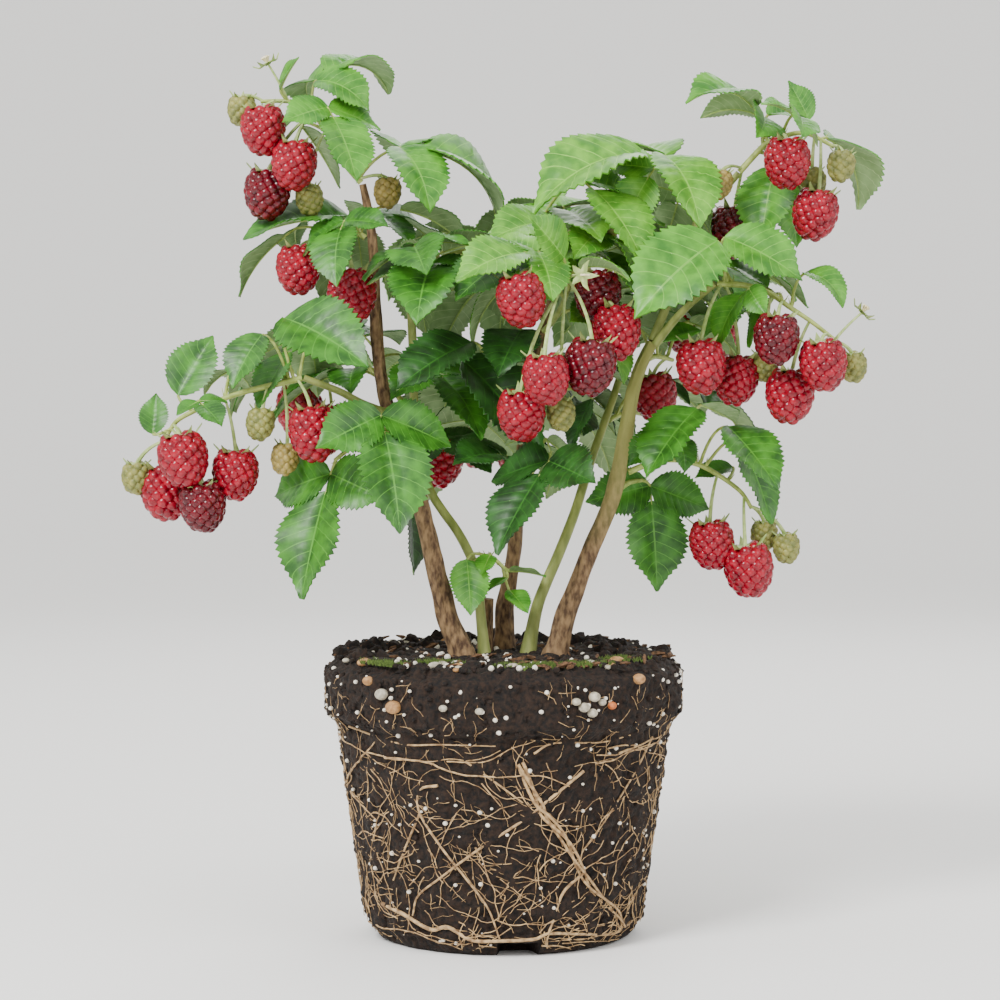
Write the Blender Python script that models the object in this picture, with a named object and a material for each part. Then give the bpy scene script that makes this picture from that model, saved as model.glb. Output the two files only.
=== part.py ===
"""A fruiting raspberry plant standing on its bare root ball, as separate named solids.

Lengths are in millimetres in the tables and in metres in the model, +Z up. The origin is the
centre of the root ball's flat underside. -Y is the side with the most fruit.
The canes and boughs are tapering limbs. Each spray is one closed solid: a stem with its leaf
stalks, three-leaflet leaves, fruit stalks and berries fused to it.
"""

import math
import random
from typing import NamedTuple

import bmesh
import bpy
from mathutils import Matrix, Vector, noise
from mathutils.bvhtree import BVHTree

MM = 0.001
GAP = 0.3
GOLDEN_ANGLE = 137.5
SEED_TURN = 47.0

# Root ball, as it leaves a three-litre nursery pot
RIM_RADIUS = 95.0
WALL_TOP_RADIUS = 88.0
FOOT_RADIUS = 72.0
COLLAR_FOOT_HEIGHT = 112.0
RIM_HEIGHT = 143.0
SOIL_LEVEL = 146.0
SEAT_RADIUS = 42.0
FOOT_ROUNDING = 8.0
BALL_SEGMENTS = 32
BALL_ROUGHNESS = 1.6
CLOD_HEIGHT = 4.5
WALL_ROWS = (0.12, 0.35, 0.58, 0.8, 0.99)
NOTCH_COUNT = 4
NOTCH_WIDTH = 22.0
NOTCH_HEIGHT = 7.0
NOTCH_INNER_RADIUS = 52.0
NOTCH_START = -84.0
CLOD_SPACING = 17.0
WALL_GRAIN = 14.0
SHARP_EDGE = 50.0

# Leaves: width at each station as a share of the widest, for laid leaves and for ruled ones
LEAF_THICKNESS_SHARE = 0.014
LEAF_WIDTH_SHARE = 0.72
LAID_STATIONS = ((0.36, 0.98), (0.72, 0.66))
RULED_STATIONS = ((0.46, 0.96),)
BLADE_FOLD = 16.0
SIDE_LEAFLET_SHARE = 0.76
RACHIS_SHARE = 0.17
STALK_RADIUS = 0.9
HUB_RADIUS = 1.5
STALK_STATIONS = (0.55, 0.0)

# Fruit: width, length and number of sides
RIPE = (24.0, 27.0, 8)
UNRIPE = (14.0, 16.0, 6)
BERRY_PROFILE = ((0.42, 0.62), (0.12, 1.0), (-0.28, 0.78))
FRUIT_STALK_RADIUS = 0.75
FRUIT_STALK_SIDES = 3
FRUIT_STALK_STEPS = 2

# Sprays
SPRAY_STEM_RADIUS = 1.7
SPRAY_TIP_RADIUS = 1.0
SPRAY_STEM_SIDES = 4
CLEARANCE = 0.8
OWN_CLEARANCE = 0.4
BERRY_SHIFTS = ((0, 0, 0), (0, -5, 0), (0, 5, 0), (5, 0, 0), (-5, 0, 0), (0, -10, -4), (0, 10, -4))
TURNS = (0, 14, -14, 30, -30, 50, -50, 75, -75)
BERRY_SIZES = (0.94, 1.06)
BERRY_LEAN = 0.2
OFF_AXIS = Vector((0.31, 0.87, 0.12))
CROWN_RADIUS = 148.0
CROWN_NARROWING = 0.72
CROWN_FLOOR = 168.0
CROWN_TOP = 455.0
START_STEPS = 60
START_SPOTS = 12
FLARE = 0.4
FLARE_RUN = 8.0

# The rule that deals out leaves: degrees, and shares of the spray's blade length
HEADING_SCATTER = 18
BLADE_SCATTER = (0.82, 1.12)
STALK_RISE = (8, 48)
BLADE_FALL = (28, 58)
STALK_SHARE = (0.55, 0.8)
RULED_DROOP = (28, 55)
RULED_TILT = (5, 40)

BARK = ("bark", (0.185, 0.105, 0.06), 0.85)
GREEN_STEM = ("green_stem", (0.26, 0.29, 0.09), 0.6)
FOLIAGE = ("foliage", (0.07, 0.2, 0.03), 0.5)
SOIL = ("soil", (0.045, 0.027, 0.017), 0.95)


class Limb(NamedTuple):
    """A cane or bough: its course in millimetres, and its radius at foot and tip."""

    name: str
    paint: tuple
    course: tuple
    foot: float
    tip: float
    grows_from: str = "root_ball"
    sides: int = 8


class Leaf(NamedTuple):
    """A leaf: where its stalk leaves the stem, the hub its leaflets meet at, and how it hangs.

    Its upper side leans by tilt from level towards the heading in facing. Its side leaflets
    stand out from the end one by spread.
    """

    at: float
    hub: tuple
    heading: float
    pitch: float
    blade: float
    droop: float = 38.0
    leaflets: int = 3
    tilt: float = 0.0
    spread: float = 70.0
    facing: float = -90.0


class Spray(NamedTuple):
    """A mass of foliage: one stem with leaves, berries, and more leaves dealt out by rule."""

    name: str
    grows_from: str
    course: tuple
    leaves: tuple = ()
    ripe: tuple = ()
    unripe: tuple = ()
    fill: int = 0
    fill_blade: float = 44.0
    seed: int = 1


LIMBS = (
    Limb("cane_left", BARK,
         ((-21, -14, 146), (-28, -15, 165), (-36, -19, 197), (-45, -17, 233), (-54, -11, 259),
          (-62, -5, 282), (-66, -3, 312), (-67, -4, 350), (-70, -5, 377), (-73, -6, 391)), 5.4, 1.8),
    Limb("cane_right", BARK,
         ((27, -12, 146), (32, -12, 165), (43, -12, 196), (54, -12, 222), (61, -12, 248),
          (66, -11, 279), (71, -10, 296), (77, -9, 309)), 5.2, 2.9),
    Limb("cane_centre", BARK,
         ((0, 26, 146), (1, 27, 168), (5, 28, 194), (8, 27, 225), (11, 25, 262), (17, 22, 300),
          (27, 20, 338)), 4.8, 1.9),
    Limb("shoot_right", GREEN_STEM,
         ((13, 8, 146), (18, 10, 171), (28, 14, 195), (38, 21, 220), (47, 28, 248),
          (58, 38, 278), (70, 54, 314)), 3.3, 1.8, sides=6),
    Limb("sucker_left", GREEN_STEM,
         ((-10, -2, 146), (-12, 0, 167), (-15, 4, 191), (-25, 11, 211), (-38, 15, 230),
          (-46, 13, 258), (-47, 6, 297), (-48, -4, 326)), 2.6, 2.2, sides=6),
    Limb("cane_stub", BARK, ((-10, 17, 146), (-9, 17, 160), (-8, 16, 174)), 3.4, 2.8, sides=6),
    Limb("bough_right_top", GREEN_STEM,
         ((77, -9, 309), (86, -3, 331), (95, 0, 350), (102, -1, 376), (114, -2, 388),
          (122, -4, 397)), 2.4, 1.7, grows_from="cane_right", sides=6),
    Limb("bough_right_arm", GREEN_STEM,
         ((74, -10, 302), (86, -16, 318), (96, -24, 329), (108, -32, 339)), 2.2, 1.7,
         grows_from="cane_right", sides=6),
    Limb("bough_left_arm", GREEN_STEM,
         ((-56, -10, 271), (-73, -24, 278), (-84, -29, 284), (-102, -32, 291)), 2.2, 1.7,
         grows_from="cane_left", sides=6),
)

SPRAYS = (
    Spray("spray_tip_left", "cane_left",
          ((-73, -6, 391), (-84, -8, 404), (-93, -10, 420), (-104, -13, 432), (-125, -14, 433)),
          leaves=(
              Leaf(0.60, (-97, -8, 444), 33, 35, 48, 95, 3, 12),
              Leaf(0.42, (-90, -22, 429), -86, -39, 42, 22),
              Leaf(0.03, (-54, -4, 410), 11, -4, 66, 80, 3, 22),
              Leaf(0.45, (-105, 6, 422), 11, -51, 38, 15, 1),
              Leaf(0.80, (-115, -14, 439), -49, 54, 21, 15, 1, 30),
          ),
          ripe=((0.80, -123, -22, 417), (0.60, -107, -26, 399), (0.60, -122, -12, 385)),
          unripe=((0.98, -135, -12, 428), (0.45, -100, -12, 382), (0.03, -60, -10, 386)),
          fill=1, fill_blade=34, seed=3),
    Spray("spray_shoulder_left", "cane_left",
          ((-66, -4, 358), (-76, -2, 366), (-90, 2, 362)),
          leaves=(
              Leaf(0.55, (-79, -4, 373), -154, 9, 58, 36, 1, 18),
              Leaf(0.70, (-84, 8, 371), -176, -62, 44, 15, 1),
              Leaf(0.50, (-77, 14, 370), 94, -50, 36, 15, 1),
              Leaf(0.20, (-68, 18, 377), 36, -6, 44, 40, 3, 25),
          ),
          ripe=((0.98, -106, -12, 346), (0.70, -78, -20, 332)),
          fill=3, fill_blade=44, seed=5),
    Spray("spray_arm_left", "bough_left_arm",
          ((-102, -32, 291), (-119, -34, 287), (-135, -34, 283), (-151, -32, 277),
           (-167, -30, 269), (-174, -28, 258)),
          leaves=(
              Leaf(0.05, (-111, -46, 321), -43, -13, 58, 32, 1, 50),
              Leaf(0.08, (-123, -34, 313), -130, -40, 34, 30, 1, 20),
              Leaf(0.12, (-110, -22, 304), -136, -48, 36, 12, 1),
              Leaf(0.02, (-100, -14, 312), 88, -20, 46, 40),
              Leaf(0.55, (-155, -40, 279), -42, -18, 22, 20, 3, 30),
              Leaf(0.72, (-167, -26, 282), 20, 62, 37, 20, 1, 55),
              Leaf(0.90, (-180, -26, 262), 76, 78, 22, 12, 1, 30),
          ),
          ripe=((0.88, -162, -46, 249), (0.94, -174, -22, 231), (0.90, -153, -40, 225),
                (0.50, -137, -34, 241), (0.03, -96, -46, 262)),
          unripe=((0.99, -189, -24, 239), (0.22, -124, -38, 267), (0.12, -112, -30, 249)),
          fill=1, fill_blade=30, seed=8),
    Spray("spray_low_left", "cane_left",
          ((-52, -14, 256), (-60, -32, 264), (-74, -40, 258), (-86, -38, 249)),
          leaves=(
              Leaf(0.40, (-62, -50, 272), -67, -58, 55, 18),
              Leaf(0.98, (-88, -36, 242), -114, -64, 57, 8),
          ),
          fill=1, fill_blade=38, seed=2),
    Spray("spray_crown_left", "sucker_left",
          ((-48, -4, 326), (-46, -12, 340), (-34, -20, 351), (-18, -26, 356), (0, -30, 354)),
          leaves=(
              Leaf(0.35, (-36, -32, 349), -112, -12, 50, 45, 3, 10),
              Leaf(0.98, (7, -36, 353), -129, -18, 44, 25, 3, 35),
              Leaf(0.30, (-31, -14, 356), -10, 21, 36, 40, 1, -20),
          ),
          fill=5, fill_blade=44, seed=4),
    Spray("spray_crown_top", "cane_centre",
          ((27, 20, 338), (28, 14, 352), (24, 4, 364), (14, -4, 370)),
          leaves=(
              Leaf(0.30, (31, 10, 380), 150, 13, 46, 30, 3, 30),
              Leaf(0.90, (27, -10, 371), -152, 4, 44, 35, 1, 35),
              Leaf(0.60, (33, -2, 377), 6, 8, 46, 30, 1, 25),
          ),
          unripe=((0.5, 56, -12, 372),),
          fill=6, fill_blade=48, seed=6),
    Spray("spray_fruit_front", "cane_centre",
          ((20, 22, 314), (27, 2, 322), (33, -28, 336), (31, -58, 342)),
          leaves=(
              Leaf(0.98, (30, -62, 351), -130, 41, 32, 12, 1, 55),
              Leaf(0.86, (38, -54, 346), -21, 16, 30, 60, 1, -10),
          ),
          ripe=((0.86, 9, -74, 329), (0.95, 21, -82, 290), (0.95, 43, -70, 296),
                (0.84, 9, -62, 272), (0.62, 57, -48, 313), (0.55, 48, -34, 332)),
          unripe=((0.9, 29, -54, 272),),
          fill=3, fill_blade=40, seed=7),
    Spray("spray_heart", "cane_centre",
          ((12, 25, 266), (2, 0, 284), (-10, -18, 302)),
          leaves=(
              Leaf(0.80, (-21, -26, 300), -20, -40, 66, 20, 1, 30),
              Leaf(0.98, (-16, -32, 309), -146, -18, 50, 25, 1, 30),
              Leaf(0.60, (9, -20, 315), -158, -12, 42, 25, 1, 30),
              Leaf(0.30, (46, -10, 280), -147, -58, 30, 10, 1),
          ),
          fill=5, fill_blade=48, seed=9),
    Spray("spray_low_centre", "cane_centre",
          ((8, 27, 222), (14, -4, 240), (21, -38, 252)),
          leaves=(Leaf(0.98, (23, -54, 249), -136, -46, 50, 12),),
          fill=2, fill_blade=40, seed=5),
    Spray("spray_foot", "sucker_left",
          ((-16, 5, 193), (-8, -4, 198), (0, -4, 192)),
          leaves=(
              Leaf(0.45, (-19, -18, 197), -78, -64, 30, 12, 1),
              Leaf(0.50, (-7, -14, 199), -123, -28, 16, 12, 1, 10),
              Leaf(0.80, (2, -12, 187), -155, -24, 14, 12, 1, 10),
              Leaf(0.98, (3, -4, 180), -52, -30, 19, 12, 1, 20),
              Leaf(0.98, (3, -2, 190), -12, 2, 20, 20, 1, -10),
          ), seed=2),
    Spray("spray_sucker", "sucker_left",
          ((-42, 15, 242), (-46, 22, 250), (-46, 32, 254)),
          leaves=(
              Leaf(0.30, (-50, 8, 229), -22, -82, 42, 8, 1),
              Leaf(0.20, (-32, 26, 234), -41, -28, 28, 10, 1, 10),
          ),
          ripe=((0.70, -34, 24, 246),),
          fill=2, fill_blade=40, seed=4),
    Spray("spray_high_right", "bough_right_top",
          ((102, -1, 374), (97, -7, 384), (91, -9, 394)),
          leaves=(Leaf(0.98, (83, -14, 405), -152, 1, 70, 62, 3, 25, 92),),
          fill=2, fill_blade=40, seed=3),
    Spray("spray_tip_right", "bough_right_top",
          ((122, -4, 397), (136, -6, 412), (146, -8, 416), (157, -8, 417), (171, -8, 410)),
          leaves=(
              Leaf(0.30, (133, -4, 426), -133, 37, 46, 80, 3, 22, 62),
              Leaf(0.36, (137, -2, 427), 28, 13, 27, 30, 1, 30),
              Leaf(0.72, (158, -6, 424), -164, 64, 23, 12, 1, 40),
              Leaf(0.86, (168, -3, 415), 40, -14, 52, 70, 1, 20),
              Leaf(0.24, (142, 12, 401), -102, -56, 46, 12, 1),
              Leaf(0.30, (150, 22, 395), -72, -66, 38, 12, 1),
          ),
          ripe=((0.45, 145, -26, 400), (0.86, 160, -18, 374), (0.04, 119, 10, 366)),
          unripe=((0.98, 173, -20, 399), (0.80, 160, -4, 391), (0.04, 111, -16, 390)),
          fill=1, fill_blade=32, seed=6),
    Spray("spray_arm_right", "bough_right_arm",
          ((108, -32, 339), (123, -36, 338), (135, -38, 334), (145, -40, 327), (157, -40, 319),
           (170, -38, 309)),
          leaves=(
              Leaf(0.05, (108, -46, 360), -138, -24, 64, 38, 1, 48),
              Leaf(0.08, (112, -42, 362), -26, -18, 46, 30, 1, 45),
              Leaf(0.12, (110, -24, 356), 85, 0, 44, 40, 3, 20),
              Leaf(0.42, (136, -18, 337), 157, 36, 32, 20, 1, 10),
              Leaf(0.44, (133, -12, 333), -168, -26, 38, 20, 1, 20),
              Leaf(0.50, (139, -22, 333), -153, -54, 30, 12, 1),
              Leaf(0.58, (153, -34, 344), -38, 2, 30, 90, 1, 20),
          ),
          ripe=((0.03, 100, -46, 296), (0.06, 119, -27, 289), (0.50, 137, -56, 310),
                (0.74, 146, -34, 281), (0.92, 161, -54, 297)),
          unripe=((0.99, 178, -38, 296), (0.40, 134, -26, 296)),
          fill=1, fill_blade=34, seed=11),
    Spray("spray_mid_right", "cane_right",
          ((72, -10, 299), (79, 2, 302), (89, 12, 300)),
          leaves=(Leaf(0.50, (81, -2, 309), 42, 20, 36, 20, 1, 20),),
          ripe=((0.80, 80, 16, 280),),
          fill=3, fill_blade=42, seed=2),
    Spray("spray_low_right", "cane_right",
          ((60, -12, 240), (81, -10, 248), (97, -8, 247), (109, -8, 242), (123, -8, 232),
           (129, -8, 223)),
          leaves=(
              Leaf(0.35, (99, -30, 275), -138, -33, 50, 24, 1, 10),
              Leaf(0.40, (102, -18, 277), 46, -14, 30, 10, 1),
              Leaf(0.52, (115, -26, 266), -46, -36, 46, 15, 1, 15),
              Leaf(0.56, (122, -12, 259), -20, -63, 47, 12, 1, 10),
              Leaf(0.74, (120, 4, 244), -160, -8, 22, 15, 1, 30),
          ),
          ripe=((0.66, 108, -16, 204), (0.90, 127, -18, 191)),
          unripe=((0.98, 136, -2, 208), (0.98, 147, -10, 202)),
          fill=1, fill_blade=34, seed=5),
    Spray("spray_drop_right", "cane_right",
          ((58, -12, 232), (65, -2, 236), (73, 8, 237)),
          leaves=(Leaf(0.98, (77, 10, 234), -59, -72, 48, 8),), seed=7),
    Spray("spray_back_left", "sucker_left",
          ((-47, 12, 268), (-62, 34, 288), (-84, 56, 300), (-104, 70, 298)),
          ripe=((0.9, -112, 78, 272), (0.95, -96, 90, 262)),
          fill=8, fill_blade=50, seed=12),
    Spray("spray_back_high", "cane_centre",
          ((22, 21, 320), (8, 42, 340), (-14, 60, 356), (-34, 72, 362)),
          unripe=((0.9, -30, 86, 340),),
          fill=7, fill_blade=50, seed=15),
    Spray("spray_back_centre", "cane_centre",
          ((11, 26, 252), (10, 54, 270), (4, 84, 280), (0, 104, 276)),
          ripe=((0.85, 8, 112, 246), (0.95, -14, 116, 252)),
          fill=8, fill_blade=50, seed=18),
    Spray("spray_back_right", "shoot_right",
          ((70, 54, 314), (80, 68, 332), (94, 82, 342), (110, 92, 340)),
          ripe=((0.9, 118, 98, 312), (0.8, 100, 106, 318)),
          fill=8, fill_blade=50, seed=21),
    Spray("spray_shoot_back", "shoot_right",
          ((54, 34, 267), (68, 52, 272), (86, 64, 268)),
          fill=4, fill_blade=46, seed=24),
)


def mm(point):
    """A point given in millimetres, as a vector in metres."""
    return Vector(point) * MM


def direction(heading, pitch):
    """The unit vector with that compass heading from +X and that pitch above level, in degrees."""
    across, up = math.radians(heading), math.radians(pitch)
    return Vector((math.cos(across) * math.cos(up), math.sin(across) * math.cos(up), math.sin(up)))


def smooth_course(points, steps_per_span=3):
    """Points on the Catmull-Rom curve through the given points."""
    ends = [2 * points[0] - points[1], *points, 2 * points[-1] - points[-2]]
    course = []
    for a, b, c, d in zip(ends, ends[1:], ends[2:], ends[3:]):
        for step in range(steps_per_span):
            t = step / steps_per_span
            course.append(0.5 * (2 * b + (c - a) * t + (2 * a - 5 * b + 4 * c - d) * t * t
                                 + (3 * b - a - 3 * c + d) * t ** 3))
    return [*course, points[-1]]


def along(course, share):
    """The point and heading at a share of the course's length."""
    lengths = [(b - a).length for a, b in zip(course, course[1:])]
    left = share * sum(lengths)
    for a, b, length in zip(course, course[1:], lengths):
        if left <= length:
            return a.lerp(b, left / length), (b - a).normalized()
        left -= length
    return course[-1], (course[-1] - course[-2]).normalized()


def stalk_course(node, hub, ahead, shares):
    """Points on a stalk that rises from the node and arrives at the hub on the leaf's own line."""
    length = (hub - node).length
    middle = (node + hub) / 2 + Vector((0, 0, 0.12 * length))
    pull = middle.lerp(hub - ahead * length * 0.5, 0.45)
    return [node * (1 - t) ** 2 + pull * 2 * t * (1 - t) + hub * t * t for t in shares]


def tube(course, radii, sides, flat_foot=False):
    """A closed tube's points and faces. With flat_foot its first ring lies level."""
    points, faces = [], []
    side = (course[1] - course[0]).cross(OFF_AXIS).normalized()
    for i, centre in enumerate(course):
        ahead = (course[min(i + 1, len(course) - 1)] - course[max(i - 1, 0)]).normalized()
        if flat_foot and i == 0:
            ahead = Vector((0, 0, 1))
        side = (side - ahead * side.dot(ahead)).normalized()
        other = ahead.cross(side)
        for k in range(sides):
            turn = 2 * math.pi * k / sides
            points.append(centre + (side * math.cos(turn) + other * math.sin(turn)) * radii[i])
    for i in range(len(course) - 1):
        for k in range(sides):
            low, high = i * sides, (i + 1) * sides
            nxt = (k + 1) % sides
            faces.append((low + k, low + nxt, high + nxt, high + k))
    faces.append(tuple(reversed(range(sides))))
    faces.append(tuple(range(len(points) - sides, len(points))))
    return points, faces


def tapered(course, foot, tip):
    """A radius for each point of the course, falling evenly from foot to tip."""
    last = len(course) - 1
    return [foot + (tip - foot) * i / last for i in range(last + 1)]


class LeafBlade(NamedTuple):
    """One leaflet: its base, the way it sets out, its upper side, and its size, in metres."""

    base: Vector
    ahead: Vector
    upper: Vector
    length: float
    droop: float
    swing: float


class Growth(NamedTuple):
    """A leaf or a fruit with its stalk, as one closed solid in two runs of faces."""

    points: list
    stalk: list
    body: list


def add_arm(points, faces, root, rows, tip=None):
    """Adds an arm of diamond section to four corners: its rows, then a point or a flat end."""
    for row in rows:
        first = len(points)
        points += row
        fresh = (first, first + 1, first + 2, first + 3)
        (l0, r0, t0, u0), (l1, r1, t1, u1) = root, fresh
        faces += [(l0, t0, t1, l1), (t0, r0, r1, t1), (u0, l0, l1, u1), (r0, u0, u1, r1)]
        root = fresh
    left, right, top, under = root
    if tip is None:
        faces.append((left, top, right, under))
        return
    points.append(tip)
    end = len(points) - 1
    faces += [(end, left, top), (end, top, right), (end, under, left), (end, right, under)]


def blade_rows(blade, stations):
    """A leaflet's rows of corners, folded along its midrib and drooping, and its tip."""
    side = blade.upper.cross(blade.ahead).normalized()
    half_thick = blade.length * LEAF_THICKNESS_SHARE / 2
    fold = math.radians(BLADE_FOLD)
    rows = []
    centre = blade.base.copy()
    before = 0.0
    for share, width in (*stations, (1.0, 0.0)):
        bend = math.radians(blade.droop * (share + before) / 2)
        step = (share - before) * blade.length
        centre = centre + Matrix.Rotation(bend, 3, side) @ blade.ahead * step
        upper = Matrix.Rotation(math.radians(blade.droop * share), 3, side) @ blade.upper
        reach = blade.length * LEAF_WIDTH_SHARE / 2 * width
        out, rise = side * reach * math.cos(fold), upper * reach * math.sin(fold)
        rows.append((centre + out + rise, centre - out + rise,
                     centre + upper * half_thick, centre - upper * half_thick))
        before = share
    return rows[:-1], centre


def diamond(centre, ahead, side, radius):
    """The four corners of a stalk's section: left, right, top, under."""
    side = (side - ahead * side.dot(ahead)).normalized()
    upper = ahead.cross(side)
    return (centre + side * radius, centre - side * radius,
            centre + upper * radius, centre - upper * radius)


def leaf_solid(node, hub, blades, stations):
    """A leaf as one closed solid: its stalk and leaflets grow as arms from one hub."""
    ahead, upper = blades[0].ahead, blades[0].upper
    side = upper.cross(ahead)
    swings = sorted([blade.swing for blade in blades] + [180.0])
    points = [hub + upper * STALK_RADIUS * MM, hub - upper * STALK_RADIUS * MM]
    notches = {}
    for before, after in zip([swings[-1] - 360.0, *swings], swings):
        between = math.radians((before + after) / 2)
        notches[after] = len(points)
        points.append(hub + (ahead * math.cos(between) + side * math.sin(between)) * HUB_RADIUS * MM)
    stalk_faces, body_faces = [], []
    for i, swing in enumerate(swings):
        root = (notches[swings[(i + 1) % len(swings)]], notches[swing], 0, 1)
        if swing == 180.0:
            course = stalk_course(node, hub, ahead, STALK_STATIONS)
            across = points[root[0]] - points[root[1]]
            rows, last = [], hub
            for spot in course:
                rows.append(diamond(spot, (spot - last).normalized(), across, STALK_RADIUS * MM))
                last = spot
            add_arm(points, stalk_faces, root, rows)
            continue
        blade = next(b for b in blades if b.swing == swing)
        rows, tip = blade_rows(blade, stations)
        if swing == 0.0 and len(blades) > 1:
            rows.insert(0, diamond(blade.base, ahead, side, STALK_RADIUS * MM))
        add_arm(points, body_faces, root, rows, tip)
    return Growth(points, stalk_faces, body_faces)


def berry_solid(node, centre, width, length, lean, sides):
    """A berry hanging from its stalk as one closed solid, with its axis along lean."""
    turn = Vector((0, 0, 1)).rotation_difference(lean)
    points = [centre - lean * length / 2]
    body = []
    for height, share in reversed(BERRY_PROFILE):
        for k in range(sides):
            angle = 2 * math.pi * k / sides
            points.append(centre + turn @ Vector((width / 2 * share * math.cos(angle),
                                                  width / 2 * share * math.sin(angle),
                                                  length * height)))
    for k in range(sides):
        nxt = (k + 1) % sides
        body.append((0, 1 + nxt, 1 + k))
        for ring in range(len(BERRY_PROFILE) - 1):
            low, high = 1 + ring * sides, 1 + (ring + 1) * sides
            body.append((low + k, low + nxt, high + nxt, high + k))
    crown = len(points) - sides
    top = centre + lean * length / 2
    course = stalk_course(node, top, -lean, [1 - i / FRUIT_STALK_STEPS
                                             for i in range(FRUIT_STALK_STEPS + 1)])
    neck = len(points)
    side = turn @ Vector((1, 0, 0))
    for i, spot in enumerate(course):
        ahead = (course[min(i + 1, len(course) - 1)] - course[max(i - 1, 0)]).normalized()
        if i == 0:
            ahead = lean
        side = (side - ahead * side.dot(ahead)).normalized()
        other = ahead.cross(side)
        for k in range(FRUIT_STALK_SIDES):
            angle = 2 * math.pi * k / FRUIT_STALK_SIDES
            points.append(spot + (side * math.cos(angle) + other * math.sin(angle))
                          * FRUIT_STALK_RADIUS * MM)
    for k in range(sides):
        here, there = k * FRUIT_STALK_SIDES // sides, (k + 1) * FRUIT_STALK_SIDES // sides
        there %= FRUIT_STALK_SIDES
        body.append((crown + k, crown + (k + 1) % sides, neck + here))
        if here != there:
            body.append((crown + (k + 1) % sides, neck + there, neck + here))
    stalk = []
    for i in range(len(course) - 1):
        low, high = neck + i * FRUIT_STALK_SIDES, neck + (i + 1) * FRUIT_STALK_SIDES
        for k in range(FRUIT_STALK_SIDES):
            nxt = (k + 1) % FRUIT_STALK_SIDES
            stalk.append((low + k, low + nxt, high + nxt, high + k))
    stalk.append(tuple(range(len(points) - FRUIT_STALK_SIDES, len(points))))
    return Growth(points, stalk, body)


def leaflets_of(leaf, hub, rng):
    """The leaflets of one leaf: the end one first, then one on each side."""
    ahead = direction(leaf.heading, leaf.pitch)
    level = direction(leaf.facing, 90 - leaf.tilt).cross(ahead).normalized()
    upper = ahead.cross(level)
    length = leaf.blade * MM
    rachis = RACHIS_SHARE * length if leaf.leaflets > 1 else 0.0
    blades = [LeafBlade(hub + ahead * rachis, ahead, upper, length, leaf.droop, 0.0)]
    if leaf.leaflets > 1:
        for sign in (1, -1):
            swing = sign * (leaf.spread + rng.uniform(-4, 8))
            out = Matrix.Rotation(math.radians(swing), 3, upper) @ ahead
            size = length * SIDE_LEAFLET_SHARE * rng.uniform(0.9, 1.06)
            blades.append(LeafBlade(hub, out, upper, size, leaf.droop * 0.8 + rng.uniform(-6, 10),
                                    swing))
    return blades


def rule_leaf(spray, course, index, rng):
    """The index-th leaf that the rule deals to a spray, a golden angle on from the one before."""
    share = (index + 0.7) / (spray.fill + 0.4)
    heading = (spray.seed * SEED_TURN + index * GOLDEN_ANGLE
               + rng.uniform(-HEADING_SCATTER, HEADING_SCATTER))
    blade = spray.fill_blade * rng.uniform(*BLADE_SCATTER)
    rise = rng.uniform(*STALK_RISE)
    pitch = rise - rng.uniform(*BLADE_FALL)
    stalk = blade * rng.uniform(*STALK_SHARE)
    node, _ = along(course, share)
    hub = node / MM + direction(heading, rise) * stalk
    outward = math.degrees(math.atan2(hub.y, hub.x))
    return Leaf(share, tuple(hub), heading, pitch, blade, droop=rng.uniform(*RULED_DROOP),
                tilt=rng.uniform(*RULED_TILT), facing=outward)


def turned(leaf, node, turn, by_rule):
    """The same leaf swung round by some degrees, as a leaf that finds its place taken grows."""
    hub = Vector(leaf.hub)
    if by_rule:
        hub = node / MM + Matrix.Rotation(math.radians(turn), 3, "Z") @ (hub - node / MM)
    return leaf._replace(hub=tuple(hub), heading=leaf.heading + turn, pitch=leaf.pitch - abs(turn) / 5)


class Space:
    """What each node fills so far, so that the next piece can be kept clear of the others."""

    def __init__(self):
        self.stalks = {}
        self.bodies = {}

    def add(self, node, points, stalk, body):
        for shelf, faces in ((self.stalks, stalk), (self.bodies, body)):
            if faces:
                shelf.setdefault(node, []).append(BVHTree.FromPolygons(points, faces))

    def clear(self, node, growth, of_own=True):
        """Whether the growth stands clear of the other nodes, and of its own node's leaves."""
        wide = swollen(growth, CLEARANCE * MM)
        tree = BVHTree.FromPolygons(wide, growth.stalk + growth.body)
        for shelf in (self.stalks, self.bodies):
            if any(tree.overlap(other)
                   for name, others in shelf.items() if name != node for other in others):
                return False
        if not of_own:
            return True
        near = swollen(growth, OWN_CLEARANCE * MM)
        body = BVHTree.FromPolygons(near, growth.body)
        stalk = BVHTree.FromPolygons(near, growth.stalk)
        mine = self.bodies.get(node, [])
        return not (any(body.overlap(other) for other in [*mine, *self.stalks[node]])
                    or any(stalk.overlap(other) for other in mine))


def swollen(growth, by):
    """The growth's points moved outwards by a margin, for testing clearance."""
    mesh = bmesh.new()
    corners = [mesh.verts.new(p) for p in growth.points]
    for face in growth.stalk + growth.body:
        mesh.faces.new([corners[i] for i in face])
    mesh.normal_update()
    grown = [v.co + v.normal * by for v in corners]
    mesh.free()
    return grown


def in_crown(points):
    """Whether all the points lie in the space that the crown fills."""
    return all(CROWN_FLOOR * MM < p.z < CROWN_TOP * MM
               and math.hypot(p.x * CROWN_NARROWING, p.y) < CROWN_RADIUS * MM for p in points)


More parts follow.
